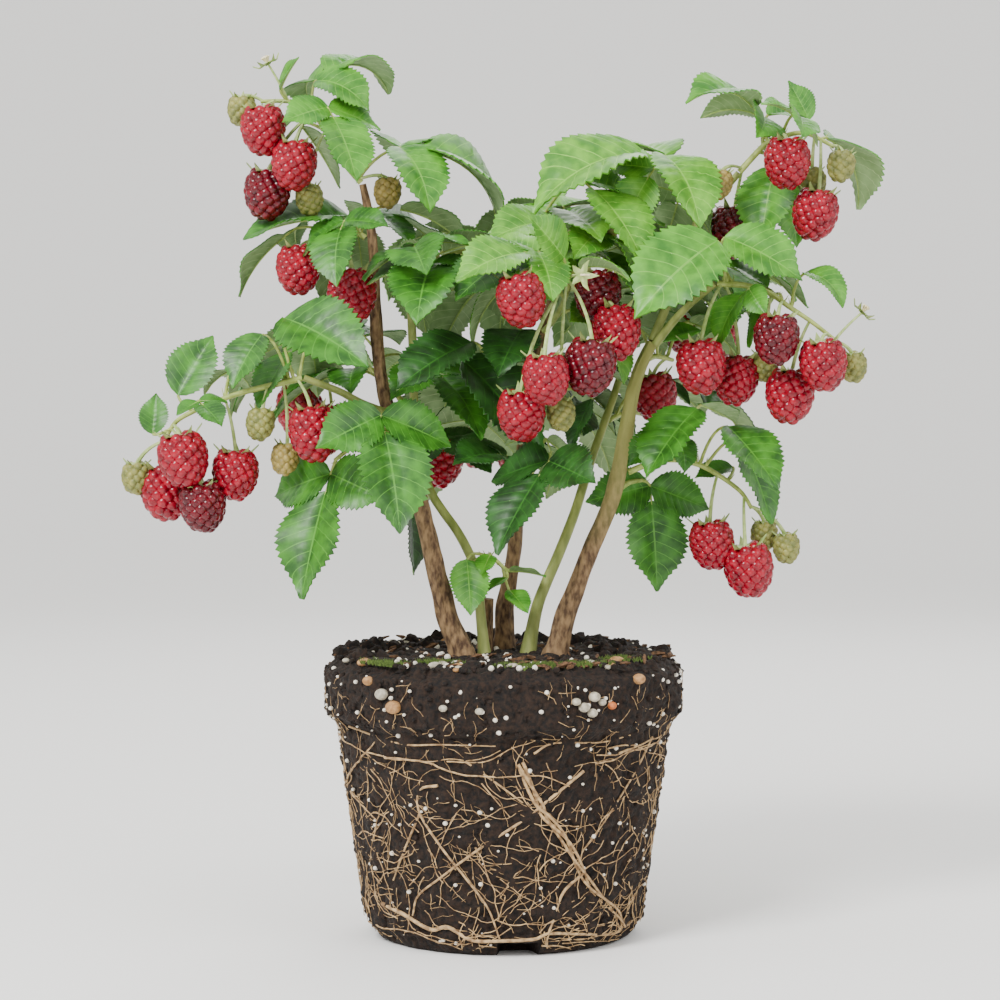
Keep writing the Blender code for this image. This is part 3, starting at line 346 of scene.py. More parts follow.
SPRAYS = (
    Spray("spray_tip_left", "cane_left",
          ((-73, -6, 391), (-84, -8, 404), (-93, -10, 420), (-104, -13, 432), (-125, -14, 433)),
          leaves=(
              Leaf(0.60, (-97, -8, 444), 33, 35, 48, 95, 3, 12),
              Leaf(0.42, (-90, -22, 429), -86, -39, 42, 22),
              Leaf(0.03, (-54, -4, 410), 11, -4, 66, 80, 3, 22),
              Leaf(0.45, (-105, 6, 422), 11, -51, 38, 15, 1),
              Leaf(0.80, (-115, -14, 439), -49, 54, 21, 15, 1, 30),
          ),
          ripe=((0.80, -123, -22, 417), (0.60, -107, -26, 399), (0.60, -122, -12, 385)),
          unripe=((0.98, -135, -12, 428), (0.45, -100, -12, 382), (0.03, -60, -10, 386)),
          fill=1, fill_blade=34, seed=3),
    Spray("spray_shoulder_left", "cane_left",
          ((-66, -4, 358), (-76, -2, 366), (-90, 2, 362)),
          leaves=(
              Leaf(0.55, (-79, -4, 373), -154, 9, 58, 36, 1, 18),
              Leaf(0.70, (-84, 8, 371), -176, -62, 44, 15, 1),
              Leaf(0.50, (-77, 14, 370), 94, -50, 36, 15, 1),
              Leaf(0.20, (-68, 18, 377), 36, -6, 44, 40, 3, 25),
          ),
          ripe=((0.98, -106, -12, 346), (0.70, -78, -20, 332)),
          fill=3, fill_blade=44, seed=5),
    Spray("spray_arm_left", "bough_left_arm",
          ((-102, -32, 291), (-119, -34, 287), (-135, -34, 283), (-151, -32, 277),
           (-167, -30, 269), (-174, -28, 258)),
          leaves=(
              Leaf(0.05, (-111, -46, 321), -43, -13, 58, 32, 1, 50),
              Leaf(0.08, (-123, -34, 313), -130, -40, 34, 30, 1, 20),
              Leaf(0.12, (-110, -22, 304), -136, -48, 36, 12, 1),
              Leaf(0.02, (-100, -14, 312), 88, -20, 46, 40),
              Leaf(0.55, (-155, -40, 279), -42, -18, 22, 20, 3, 30),
              Leaf(0.72, (-167, -26, 282), 20, 62, 37, 20, 1, 55),
              Leaf(0.90, (-180, -26, 262), 76, 78, 22, 12, 1, 30),
          ),
          ripe=((0.88, -162, -46, 249), (0.94, -174, -22, 231), (0.90, -153, -40, 225),
                (0.50, -137, -34, 241), (0.03, -96, -46, 262)),
          unripe=((0.99, -189, -24, 239), (0.22, -124, -38, 267), (0.12, -112, -30, 249)),
          fill=1, fill_blade=30, seed=8),
    Spray("spray_low_left", "cane_left",
          ((-52, -14, 256), (-60, -32, 264), (-74, -40, 258), (-86, -38, 249)),
          leaves=(
              Leaf(0.40, (-62, -50, 272), -67, -58, 55, 18),
              Leaf(0.98, (-88, -36, 242), -114, -64, 57, 8),
          ),
          fill=1, fill_blade=38, seed=2),
    Spray("spray_crown_left", "sucker_left",
          ((-48, -4, 326), (-46, -12, 340), (-34, -20, 351), (-18, -26, 356), (0, -30, 354)),
          leaves=(
              Leaf(0.35, (-36, -32, 349), -112, -12, 50, 45, 3, 10),
              Leaf(0.98, (7, -36, 353), -129, -18, 44, 25, 3, 35),
              Leaf(0.30, (-31, -14, 356), -10, 21, 36, 40, 1, -20),
          ),
          fill=5, fill_blade=44, seed=4),
    Spray("spray_crown_top", "cane_centre",
          ((27, 20, 338), (28, 14, 352), (24, 4, 364), (14, -4, 370)),
          leaves=(
              Leaf(0.30, (31, 10, 380), 150, 13, 46, 30, 3, 30),
              Leaf(0.90, (27, -10, 371), -152, 4, 44, 35, 1, 35),
              Leaf(0.60, (33, -2, 377), 6, 8, 46, 30, 1, 25),
          ),
          unripe=((0.5, 56, -12, 372),),
          fill=6, fill_blade=48, seed=6),
    Spray("spray_fruit_front", "cane_centre",
          ((20, 22, 314), (27, 2, 322), (33, -28, 336), (31, -58, 342)),
          leaves=(
              Leaf(0.98, (30, -62, 351), -130, 41, 32, 12, 1, 55),
              Leaf(0.86, (38, -54, 346), -21, 16, 30, 60, 1, -10),
          ),
          ripe=((0.86, 9, -74, 329), (0.95, 21, -82, 290), (0.95, 43, -70, 296),
                (0.84, 9, -62, 272), (0.62, 57, -48, 313), (0.55, 48, -34, 332)),
          unripe=((0.9, 29, -54, 272),),
          fill=3, fill_blade=40, seed=7),
    Spray("spray_heart", "cane_centre",
          ((12, 25, 266), (2, 0, 284), (-10, -18, 302)),
          leaves=(
              Leaf(0.80, (-21, -26, 300), -20, -40, 66, 20, 1, 30),
              Leaf(0.98, (-16, -32, 309), -146, -18, 50, 25, 1, 30),
              Leaf(0.60, (9, -20, 315), -158, -12, 42, 25, 1, 30),
              Leaf(0.30, (46, -10, 280), -147, -58, 30, 10, 1),
          ),
          fill=5, fill_blade=48, seed=9),
    Spray("spray_low_centre", "cane_centre",
          ((8, 27, 222), (14, -4, 240), (21, -38, 252)),
          leaves=(Leaf(0.98, (23, -54, 249), -136, -46, 50, 12),),
          fill=2, fill_blade=40, seed=5),
    Spray("spray_foot", "sucker_left",
          ((-16, 5, 193), (-8, -4, 198), (0, -4, 192)),
          leaves=(
              Leaf(0.45, (-19, -18, 197), -78, -64, 30, 12, 1),
              Leaf(0.50, (-7, -14, 199), -123, -28, 16, 12, 1, 10),
              Leaf(0.80, (2, -12, 187), -155, -24, 14, 12, 1, 10),
              Leaf(0.98, (3, -4, 180), -52, -30, 19, 12, 1, 20),
              Leaf(0.98, (3, -2, 190), -12, 2, 20, 20, 1, -10),
          ), seed=2),
    Spray("spray_sucker", "sucker_left",
          ((-42, 15, 242), (-46, 22, 250), (-46, 32, 254)),
          leaves=(
              Leaf(0.30, (-50, 8, 229), -22, -82, 42, 8, 1),
              Leaf(0.20, (-32, 26, 234), -41, -28, 28, 10, 1, 10),
          ),
          ripe=((0.70, -34, 24, 246),),
          fill=2, fill_blade=40, seed=4),
    Spray("spray_high_right", "bough_right_top",
          ((102, -1, 374), (97, -7, 384), (91, -9, 394)),
          leaves=(Leaf(0.98, (83, -14, 405), -152, 1, 70, 62, 3, 25, 92),),
          fill=2, fill_blade=40, seed=3),
    Spray("spray_tip_right", "bough_right_top",
          ((122, -4, 397), (136, -6, 412), (146, -8, 416), (157, -8, 417), (171, -8, 410)),
          leaves=(
              Leaf(0.30, (133, -4, 426), -133, 37, 46, 80, 3, 22, 62),
              Leaf(0.36, (137, -2, 427), 28, 13, 27, 30, 1, 30),
              Leaf(0.72, (158, -6, 424), -164, 64, 23, 12, 1, 40),
              Leaf(0.86, (168, -3, 415), 40, -14, 52, 70, 1, 20),
              Leaf(0.24, (142, 12, 401), -102, -56, 46, 12, 1),
              Leaf(0.30, (150, 22, 395), -72, -66, 38, 12, 1),
          ),
          ripe=((0.45, 145, -26, 400), (0.86, 160, -18, 374), (0.04, 119, 10, 366)),
          unripe=((0.98, 173, -20, 399), (0.80, 160, -4, 391), (0.04, 111, -16, 390)),
          fill=1, fill_blade=32, seed=6),
    Spray("spray_arm_right", "bough_right_arm",
          ((108, -32, 339), (123, -36, 338), (135, -38, 334), (145, -40, 327), (157, -40, 319),
           (170, -38, 309)),
          leaves=(
              Leaf(0.05, (108, -46, 360), -138, -24, 64, 38, 1, 48),
              Leaf(0.08, (112, -42, 362), -26, -18, 46, 30, 1, 45),
              Leaf(0.12, (110, -24, 356), 85, 0, 44, 40, 3, 20),
              Leaf(0.42, (136, -18, 337), 157, 36, 32, 20, 1, 10),
              Leaf(0.44, (133, -12, 333), -168, -26, 38, 20, 1, 20),
              Leaf(0.50, (139, -22, 333), -153, -54, 30, 12, 1),
              Leaf(0.58, (153, -34, 344), -38, 2, 30, 90, 1, 20),
          ),
          ripe=((0.03, 100, -46, 296), (0.06, 119, -27, 289), (0.50, 137, -56, 310),
                (0.74, 146, -34, 281), (0.92, 161, -54, 297)),
          unripe=((0.99, 178, -38, 296), (0.40, 134, -26, 296)),
          fill=1, fill_blade=34, seed=11),
    Spray("spray_mid_right", "cane_right",
          ((72, -10, 299), (79, 2, 302), (89, 12, 300)),
          leaves=(Leaf(0.50, (81, -2, 309), 42, 20, 36, 20, 1, 20),),
          ripe=((0.80, 80, 16, 280),),
          fill=3, fill_blade=42, seed=2),
    Spray("spray_low_right", "cane_right",
          ((60, -12, 240), (81, -10, 248), (97, -8, 247), (109, -8, 242), (123, -8, 232),
           (129, -8, 223)),
          leaves=(
              Leaf(0.35, (99, -30, 275), -138, -33, 50, 24, 1, 10),
              Leaf(0.40, (102, -18, 277), 46, -14, 30, 10, 1),
              Leaf(0.52, (115, -26, 266), -46, -36, 46, 15, 1, 15),
              Leaf(0.56, (122, -12, 259), -20, -63, 47, 12, 1, 10),
              Leaf(0.74, (120, 4, 244), -160, -8, 22, 15, 1, 30),
          ),
          ripe=((0.66, 108, -16, 204), (0.90, 127, -18, 191)),
          unripe=((0.98, 136, -2, 208), (0.98, 147, -10, 202)),
          fill=1, fill_blade=34, seed=5),
    Spray("spray_drop_right", "cane_right",
          ((58, -12, 232), (65, -2, 236), (73, 8, 237)),
          leaves=(Leaf(0.98, (77, 10, 234), -59, -72, 48, 8),), seed=7),
    Spray("spray_back_left", "sucker_left",
          ((-47, 12, 268), (-62, 34, 288), (-84, 56, 300), (-104, 70, 298)),
          ripe=((0.9, -112, 78, 272), (0.95, -96, 90, 262)),
          fill=8, fill_blade=50, seed=12),
    Spray("spray_back_high", "cane_centre",
          ((22, 21, 320), (8, 42, 340), (-14, 60, 356), (-34, 72, 362)),
          unripe=((0.9, -30, 86, 340),),
          fill=7, fill_blade=50, seed=15),
    Spray("spray_back_centre", "cane_centre",
          ((11, 26, 252), (10, 54, 270), (4, 84, 280), (0, 104, 276)),
          ripe=((0.85, 8, 112, 246), (0.95, -14, 116, 252)),
          fill=8, fill_blade=50, seed=18),
    Spray("spray_back_right", "shoot_right",
          ((70, 54, 314), (80, 68, 332), (94, 82, 342), (110, 92, 340)),
          ripe=((0.9, 118, 98, 312), (0.8, 100, 106, 318)),
          fill=8, fill_blade=50, seed=21),
    Spray("spray_shoot_back", "shoot_right",
          ((54, 34, 267), (68, 52, 272), (86, 64, 268)),
          fill=4, fill_blade=46, seed=24),
)

# Each spray's tint of green. The sprays deep in the heart, low down and at the back get a darker green
# that is painted shade
SHADED_SPRAYS = ("spray_heart", "spray_low_centre", "spray_sucker", "spray_back_centre", "spray_shoot_back")
FRESH = ("spray_tip_left", "spray_tip_right", "spray_arm_right", "spray_foot", "spray_mid_right")
YOUNG = ("spray_fruit_front", "spray_crown_top", "spray_high_right", "spray_back_high")


def mm(point):
    """A point, or a set of sizes, given in millimetres, as a vector in metres."""
    return Vector(point) * MM


def direction(heading, pitch):
    """The unit vector with that compass heading from +X and that pitch above level, in degrees."""
    across, up = math.radians(heading), math.radians(pitch)
    return Vector((math.cos(across) * math.cos(up), math.sin(across) * math.cos(up), math.sin(up)))


def smooth_course(points, steps_per_span=3):
    """Points on the Catmull-Rom curve through the given points."""
    ends = [2 * points[0] - points[1], *points, 2 * points[-1] - points[-2]]
    course = []
    for a, b, c, d in zip(ends, ends[1:], ends[2:], ends[3:]):
        for step in range(steps_per_span):
            t = step / steps_per_span
            course.append(0.5 * (2 * b + (c - a) * t + (2 * a - 5 * b + 4 * c - d) * t * t
                                 + (3 * b - a - 3 * c + d) * t ** 3))
    return [*course, points[-1]]


def along(course, share):
    """The point and heading at a share of the course's length."""
    lengths = [(b - a).length for a, b in zip(course, course[1:])]
    left = share * sum(lengths)
    for a, b, length in zip(course, course[1:], lengths):
        if left <= length:
            return a.lerp(b, left / length), (b - a).normalized()
        left -= length
    return course[-1], (course[-1] - course[-2]).normalized()


def stalk_course(node, hub, ahead, steps):
    """Points on a stalk that rises from the node and arrives at the hub on the leaf's own line."""
    length = (hub - node).length
    middle = (node + hub) / 2 + Vector((0, 0, STALK_ARCH * length))
    pull = middle.lerp(hub - ahead * length * 0.5, STALK_PULL)
    return [node * (1 - t) ** 2 + pull * 2 * t * (1 - t) + hub * t * t
            for t in [i / steps for i in range(steps + 1)]]


def bands(rings, sides, first=0):
    """The faces between rings of points, each ring straight after the one before it."""
    return [(low + k, low + (k + 1) % sides, low + sides + (k + 1) % sides, low + sides + k)
            for low in range(first, first + (rings - 1) * sides, sides) for k in range(sides)]


def tube(course, radii, sides, flat_foot=False):
    """A closed tube's points and faces. With flat_foot its first ring lies level."""
    points = []
    side = (course[1] - course[0]).cross(OFF_AXIS).normalized()
    for i, centre in enumerate(course):
        ahead = (course[min(i + 1, len(course) - 1)] - course[max(i - 1, 0)]).normalized()
        if flat_foot and i == 0:
            ahead = Vector((0, 0, 1))
        side = (side - ahead * side.dot(ahead)).normalized()
        other = ahead.cross(side)
        for k in range(sides):
            turn = 2 * math.pi * k / sides
            points.append(centre + (side * math.cos(turn) + other * math.sin(turn)) * radii[i])
    caps = [tuple(reversed(range(sides))), tuple(range(len(points) - sides, len(points)))]
    return points, bands(len(course), sides) + caps


def tapered(course, foot, tip):
    """A radius for each point of the course, falling evenly from foot to tip."""
    last = len(course) - 1
    return [foot + (tip - foot) * i / last for i in range(last + 1)]


class LeafBlade(NamedTuple):
    """One leaflet: its base, the way it sets out, its upper side, and its size, in metres."""

    base: Vector
    ahead: Vector
    upper: Vector
    length: float
    droop: float


def blade_tip(blade, stations):
    """The tip of a leaflet that droops by the same steps as the solid's."""
    side = blade.upper.cross(blade.ahead).normalized()
    centre = blade.base.copy()
    before = 0.0
    for share, _ in (*stations, (1.0, 0.0)):
        bend = math.radians(blade.droop * (share + before) / 2)
        step = (share - before) * blade.length
        centre = centre + Matrix.Rotation(bend, 3, side) @ blade.ahead * step
        before = share
    return centre


def leaflets_of(leaf, hub, rng):
    """The leaflets of one leaf: the end one first, then one on each side."""
    ahead = direction(leaf.heading, leaf.pitch)
    level = direction(leaf.facing, 90 - leaf.tilt).cross(ahead).normalized()
    upper = ahead.cross(level)
    length = leaf.blade * MM
    rachis = RACHIS_SHARE * length if leaf.leaflets > 1 else 0.0
    blades = [LeafBlade(hub + ahead * rachis, ahead, upper, length, leaf.droop)]
    if leaf.leaflets > 1:
        for sign in (1, -1):
            swing = sign * (leaf.spread + rng.uniform(*SPREAD_SCATTER))
            out = Matrix.Rotation(math.radians(swing), 3, upper) @ ahead
            size = length * SIDE_LEAFLET_SHARE * rng.uniform(*SIDE_LEAFLET_SCATTER)
            droop = leaf.droop * SIDE_DROOP_SHARE + rng.uniform(*SIDE_DROOP_SCATTER)
            blades.append(LeafBlade(hub, out, upper, size, droop))
    return blades


def rule_leaf(spray, course, index, rng):
    """The index-th leaf that the rule deals to a spray, a golden angle on from the one before."""
    share = (index + FIRST_RULED) / (spray.fill + RULED_SPACE)
    heading = (spray.seed * SEED_TURN + index * GOLDEN_ANGLE
               + rng.uniform(-HEADING_SCATTER, HEADING_SCATTER))
    blade = spray.fill_blade * rng.uniform(*BLADE_SCATTER)
    rise = rng.uniform(*STALK_RISE)
    pitch = rise - rng.uniform(*BLADE_FALL)
    stalk = blade * rng.uniform(*STALK_SHARE)
    node, _ = along(course, share)
    hub = node / MM + direction(heading, rise) * stalk
    outward = math.degrees(math.atan2(hub.y, hub.x))
    return Leaf(share, tuple(hub), heading, pitch, blade, droop=rng.uniform(*RULED_DROOP),
                tilt=rng.uniform(*RULED_TILT), facing=outward)


def turned(leaf, node, turn, by_rule):
    """The same leaf swung round by some degrees, as a leaf that finds its place taken grows."""
    hub = Vector(leaf.hub)
    if by_rule:
        hub = node / MM + Matrix.Rotation(math.radians(turn), 3, "Z") @ (hub - node / MM)
    return leaf._replace(hub=tuple(hub), heading=leaf.heading + turn, pitch=leaf.pitch - abs(turn) / 5)


def clear_start(course, foot, carrier):
    """The course from where a stem of that foot radius stands clear of its carrier's surface."""
    fine = [a.lerp(b, step / START_STEPS) for a, b in zip(course, course[1:])
            for step in range(START_STEPS)]
    for point, ahead in zip(fine, fine[1:]):
        ahead = (ahead - point).normalized()
        side = ahead.cross(OFF_AXIS).normalized()
        other = ahead.cross(side)
        spots = [point]
        for k in range(START_SPOTS):
            turn = 2 * math.pi * k / START_SPOTS
            spots.append(point + (side * math.cos(turn) + other * math.sin(turn)) * foot)
        clear = True
        for spot in spots:
            nearest, normal, _, distance = carrier.find_nearest(spot)
            clear = clear and distance >= GAP * MM and (spot - nearest).dot(normal) > 0
        if clear:
            reach = (point - course[0]).length + foot * 2
            return [point, *[p for p in course[1:] if (p - course[0]).length > reach]]
    return course


def limb_radii(limb, course):
    """The limb's radius at each point, with a flare where a cane stands on the soil."""
    radii = tapered(course, limb.foot * MM, limb.tip * MM)
    if limb.grows_from == "root_ball":
        run = 0.0
        for i, point in enumerate(course):
            run += (point - course[i - 1]).length if i else 0.0
            radii[i] *= 1 + FLARE * math.exp(-run / (FLARE_RUN * MM))
    return radii


class Pile:
    """Points and faces gathered for one piece, with each face's paint and each point's spot.

    A face's mark is its place in the list of paints. A point's spot is its share of a leaflet's
    length and width, for the pattern of veins.
    """

    def __init__(self):
        self.points, self.faces, self.marks, self.spots = [], [], [], []

    def add(self, points, faces, mark=0, spots=None):
        """Adds points, and faces that count from the first of them."""
        first = len(self.points)
        self.points += points
        self.faces += [tuple(first + i for i in face) for face in faces]
        self.marks += [mark] * len(faces)
        self.spots += spots if spots else [(0.0, 0.0)] * len(points)

    def piece(self, name, paints, slot, nodes, smooth=True):
        """The pile as one mesh object that rides on the plant and stands for the nodes."""
        mesh = bpy.data.meshes.new(name)
        mesh.from_pydata([tuple(p) for p in self.points], [], self.faces)
        for paint in paints:
            mesh.materials.append(paint)
        mesh.polygons.foreach_set("material_index", self.marks)
        layer = mesh.uv_layers.new(name="blade")
        corners = [0] * len(mesh.loops)
        mesh.loops.foreach_get("vertex_index", corners)
        layer.data.foreach_set("uv", [value for i in corners for value in self.spots[i]])
        if smooth:
            mesh.shade_smooth()
            mesh.set_sharp_from_angle(angle=math.radians(SHARP_ANGLE))
        mesh.update()
        thing = placed(name, mesh, (0, 0, 0))
        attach(thing, "root")
        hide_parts(*nodes)


def ball(centre, radius, squash=1.0, rings=BEAD_SIDES[0], sides=BEAD_SIDES[1]):
    """The points and faces of a small round bead."""
    points = [centre - Vector((0, 0, radius * squash))]
    for ring in range(1, rings):
        angle = math.pi * ring / rings
        for k in range(sides):
            turn = 2 * math.pi * k / sides
            points.append(centre + Vector((math.sin(angle) * math.cos(turn) * radius,
                                           math.sin(angle) * math.sin(turn) * radius,
                                           -math.cos(angle) * radius * squash)))
    points.append(centre + Vector((0, 0, radius * squash)))
    faces = [(0, 1 + (k + 1) % sides, 1 + k) for k in range(sides)]
    faces += bands(rings - 1, sides, 1)
    last, crown = len(points) - 1, 1 + (rings - 2) * sides
    faces += [(last, crown + k, crown + (k + 1) % sides) for k in range(sides)]
    return points, faces


def dome(centre, out, radius, rings=4, sides=7):
    """A drupelet: a round cap that faces out, open where it meets its neighbours."""
    turn = Vector((0, 0, 1)).rotation_difference(out)
    points = []
    for ring in range(rings):
        angle = math.radians(DRUPELET_CAP) * (1 - ring / rings)
        for k in range(sides):
            spin = 2 * math.pi * (k + 0.5 * (ring % 2)) / sides
            points.append(centre + turn @ Vector((math.sin(angle) * math.cos(spin),
                                                  math.sin(angle) * math.sin(spin),
                                                  math.cos(angle))) * radius)
    points.append(centre + out * radius)
    faces = bands(rings, sides)
    crown = (rings - 1) * sides
    faces += [(crown + k, crown + (k + 1) % sides, len(points) - 1) for k in range(sides)]
    return points, faces


def outline(share):
    """A leaflet's half width at a share of its length, as a share of the widest."""
    share = min(1.0, max(0.0, share))
    point = 1 - POINT_PINCH * max(0.0, (share - POINT_START) / (1 - POINT_START))
    return max(LEAST_WIDTH, math.sin(math.pi * share ** 0.72) ** 0.75 * point)


def blade_sheet(pile, blade, relief, rng):
    """One leaflet with a toothed margin and the quilted swelling between its side veins."""
    side = blade.upper.cross(blade.ahead).normalized()
    half_thick = blade.length * LEAF_THICKNESS_SHARE / 2
    fold = math.radians(BLADE_FOLD)
    wave, wave_start = rng.uniform(*MARGIN_WAVE), rng.uniform(0, 6)
    centre, before = blade.base.copy(), 0.0
    tops, unders, spots, middles = [], [], [], []
    for row in range(BLADE_ROWS + 1):
        share = row / BLADE_ROWS
        bend = math.radians(blade.droop * (share + before) / 2)
        step = (share - before) * blade.length
        ahead = Matrix.Rotation(bend, 3, side) @ blade.ahead
        centre = centre + ahead * step
        upper = Matrix.Rotation(math.radians(blade.droop * share), 3, side) @ blade.upper
        reach = blade.length * LEAF_WIDTH_SHARE / 2 * outline(share)
        middles.append(centre - upper * half_thick * RIB_DEPTH)
        for column in range(-BLADE_COLUMNS, BLADE_COLUMNS + 1):
            u = column / BLADE_COLUMNS
            tooth = 1 + (TOOTH if row % 2 else -TOOTH) * abs(u) ** 6
            phase = (share - VEIN_SWEEP * abs(u)) * VEINS
            swell = abs(math.sin(math.pi * phase)) ** 0.7 * relief * blade.length
            swell *= (1 - abs(u) ** 4) * min(1.0, abs(u) * 4) * outline(share)
            lift = reach * abs(u) * math.sin(fold) + swell
            roll = wave_start + share * 11 + (3 if u > 0 else 0)
            lift += wave * blade.length * math.sin(roll) * u * u
            forward = ahead * (reach * TOOTH_REACH * abs(u) ** 2 * (1 if row % 2 else 0.6))
            spot = centre + side * reach * u * tooth * math.cos(fold) + upper * lift
            if 0 < row < BLADE_ROWS:
                spot = spot + forward
            tops.append(spot + upper * half_thick)
            unders.append(spot - upper * half_thick)
            spots.append((share, 0.5 + u / 2))
        before = share
    wide = 2 * BLADE_COLUMNS + 1
    faces = []
    for row in range(BLADE_ROWS):
        for column in range(wide - 1):
            low, high = row * wide + column, (row + 1) * wide + column
            faces.append((low, high, high + 1, low + 1))
    pile.add(tops, [tuple(reversed(face)) for face in faces], 0, spots)
    pile.add(unders, faces, 1, spots)
    edge = []
    count = len(tops)
    for row in range(BLADE_ROWS):
        for column, flip in ((0, False), (wide - 1, True)):
            low, high = row * wide + column, (row + 1) * wide + column
            quad = (low, high, high + count, low + count)
            edge.append(tuple(reversed(quad)) if flip else quad)
    pile.add(tops + unders, edge, 0, spots + spots)
    rib = middles[::3]
    pile.add(*tube(rib, tapered(rib, *mm(RIB_RADII)), 4), 2)


def cad_tree(name):
    """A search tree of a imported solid's surface."""
    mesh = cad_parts[name].data
    return BVHTree.FromPolygons([v.co.copy() for v in mesh.vertices],
                                [tuple(face.vertices) for face in mesh.polygons])


def meets(tree, spots):
    """Whether each of the spots lies on the solid's surface."""
    return all(tree.find_nearest(spot, MATCH * MM)[0] is not None for spot in spots)


def grown_leaf(tree, node, leaf, seed, by_rule):
    """The leaflets as the solid has them: the first turn and number of leaflets that lie on it."""
    stations = RULED_STATIONS if by_rule else LAID_STATIONS
    for kept in ((0, 1, 2), (0, 1), (0, 2), (0,)):
        for turn in TURNS:
            tried = turned(leaf, node, turn, by_rule)
            hub = mm(tried.hub)
            blades = leaflets_of(tried, hub, random.Random(seed))
            blades = [blades[i] for i in kept if i < len(blades)]
            if meets(tree, [blade_tip(blade, stations) for blade in blades]):
                return hub, blades
    return None


def grow_leaf(sheets, twigs, node, hub, blades, relief, seed):
    """A leaf: its stalk, the bit of stalk that carries the end leaflet, and its leaflets."""
    rng = random.Random(seed + " look")
    ahead = blades[0].ahead
    course = stalk_course(node, hub, ahead, 7)
    twigs.add(*tube(course, tapered(course, *mm(STALK_RADII)), 7))
    if len(blades) > 1:
        rachis = [hub - ahead * MM, blades[0].base + ahead * 2 * MM]
        twigs.add(*tube(rachis, mm(RACHIS_RADII), 6))
    for turn in BRACT_TURNS:
        out = Matrix.Rotation(math.radians(turn), 3, "Z") @ (course[1] - course[0]).normalized()
        bract = [node, node + out * 2.5 * MM, node + out * 4.5 * MM + Vector((0, 0, 1.5 * MM))]
        twigs.add(*tube(bract, mm(BRACT_RADII), 4))
    for blade in blades:
        blade_sheet(sheets, blade, relief, rng)


def star(pile, top, axis, reach):
    """Five pointed sepals that spread from one point across an axis."""
    turn = Vector((0, 0, 1)).rotation_difference(axis)
    for k in range(SEPALS):
        angle = 2 * math.pi * (k + 0.3) / SEPALS
        out = turn @ Vector((math.cos(angle), math.sin(angle), 0))
        side = axis.cross(out)
        rows = []
        for share, wide, rise in SEPAL_ROWS:
            middle = top + out * share * reach + axis * rise * reach
            rows.append([middle + side * wide * reach * SEPAL_WIDTH, middle + axis * SEPAL_KEEL * MM,
                         middle - side * wide * reach * SEPAL_WIDTH])
        points = [p for row in rows for p in row]
        faces = [(3 * row + column, 3 * row + column + 1, 3 * row + column + 4, 3 * row + column + 3)
                 for row in range(len(SEPAL_ROWS) - 1) for column in range(2)]
        pile.add(points, faces)
        pile.add([p - axis * SEPAL_THICKNESS * MM for p in points],
                 [tuple(reversed(face)) for face in faces])


def grow_blossom(pile, node, centre):
    """A spent blossom: a star of sepals with a tuft of stamens, on a thin stalk."""
    axis = (centre - node).normalized()
    star(pile, centre, axis, BLOSSOM_REACH * MM)
    course = stalk_course(node, centre, axis, 6)
    pile.add(*tube(course, tapered(course, *mm(BLOSSOM_STALK_RADII)), 6))
    for k in range(STAMENS):
        turn = math.radians(GOLDEN_ANGLE) * k
        lean = 0.12 + 0.5 * k / STAMENS
        side = Vector((math.cos(turn), math.sin(turn), 0))
        tip = centre + (axis + side * lean).normalized() * STAMEN_LENGTH * MM
        pile.add(*tube([centre, tip], mm(STAMEN_RADII), 4), 1)
        pile.add(*ball(tip, ANTHER_RADIUS * MM, 1.0, 4, 6), 1)


def berry_radius(share):
    """A berry's radius at a share of its length up from its tip, as a share of the widest."""
    if share < WIDEST_AT:
        return math.sqrt(max(0.0, 1 - (1 - share / WIDEST_AT) ** 2))
    return math.sqrt(max(0.0, 1 - ((share - WIDEST_AT) / SHOULDER) ** 2))


def grow_berry(fruit, mark, twigs, node, centre, width, length, lean, drupelets):
    """A berry of drupelets over a core, with its reflexed sepals and stalk."""
    turn = Vector((0, 0, 1)).rotation_difference(lean)
    weights = [berry_radius((i + 0.5) / BERRY_STEPS) + 0.12 for i in range(BERRY_STEPS)]
    total = sum(weights)
    area = math.pi * width * length * SKIN_SHARE
    size = math.sqrt(area / drupelets / math.pi) * DRUPELET_SWELL
    run, placed = 0.0, 0
    for i, weight in enumerate(weights):
        run += weight
        while placed < drupelets and (placed + 0.5) / drupelets * total <= run:
            share = (i + 0.5) / BERRY_STEPS
            radius = berry_radius(share) * width / 2
            angle = math.radians(GOLDEN_ANGLE) * placed
            rise = berry_radius(share + 0.01) - berry_radius(share - 0.01)
            slope = rise / 0.02 * width / 2 / length
            out = Vector((math.cos(angle), math.sin(angle), -slope)).normalized()
            spot = Vector((math.cos(angle) * radius, math.sin(angle) * radius,
                           (share - 0.5) * length)) - out * size * DRUPELET_SINK
            fruit.add(*dome(centre + turn @ spot, turn @ out, size), mark)
            placed += 1
    core_points, core_faces = ball(Vector((0, 0, 0)), 1.0, 1.0, *CORE_SIDES)
    scale = Vector((width * CORE_SHARE, width * CORE_SHARE, length * CORE_SHARE))
    fruit.add([centre + turn @ Vector((p.x * scale.x, p.y * scale.y, p.z * scale.z))
               for p in core_points], core_faces, mark)
    top = centre + lean * length * FRUIT_STALK_AT
    star(twigs, top, lean, width * SEPAL_REACH)
    course = stalk_course(node, top, -lean, 8)
    twigs.add(*tube(course, tapered(course, *mm(FRUIT_STALK_RADII)), 6))


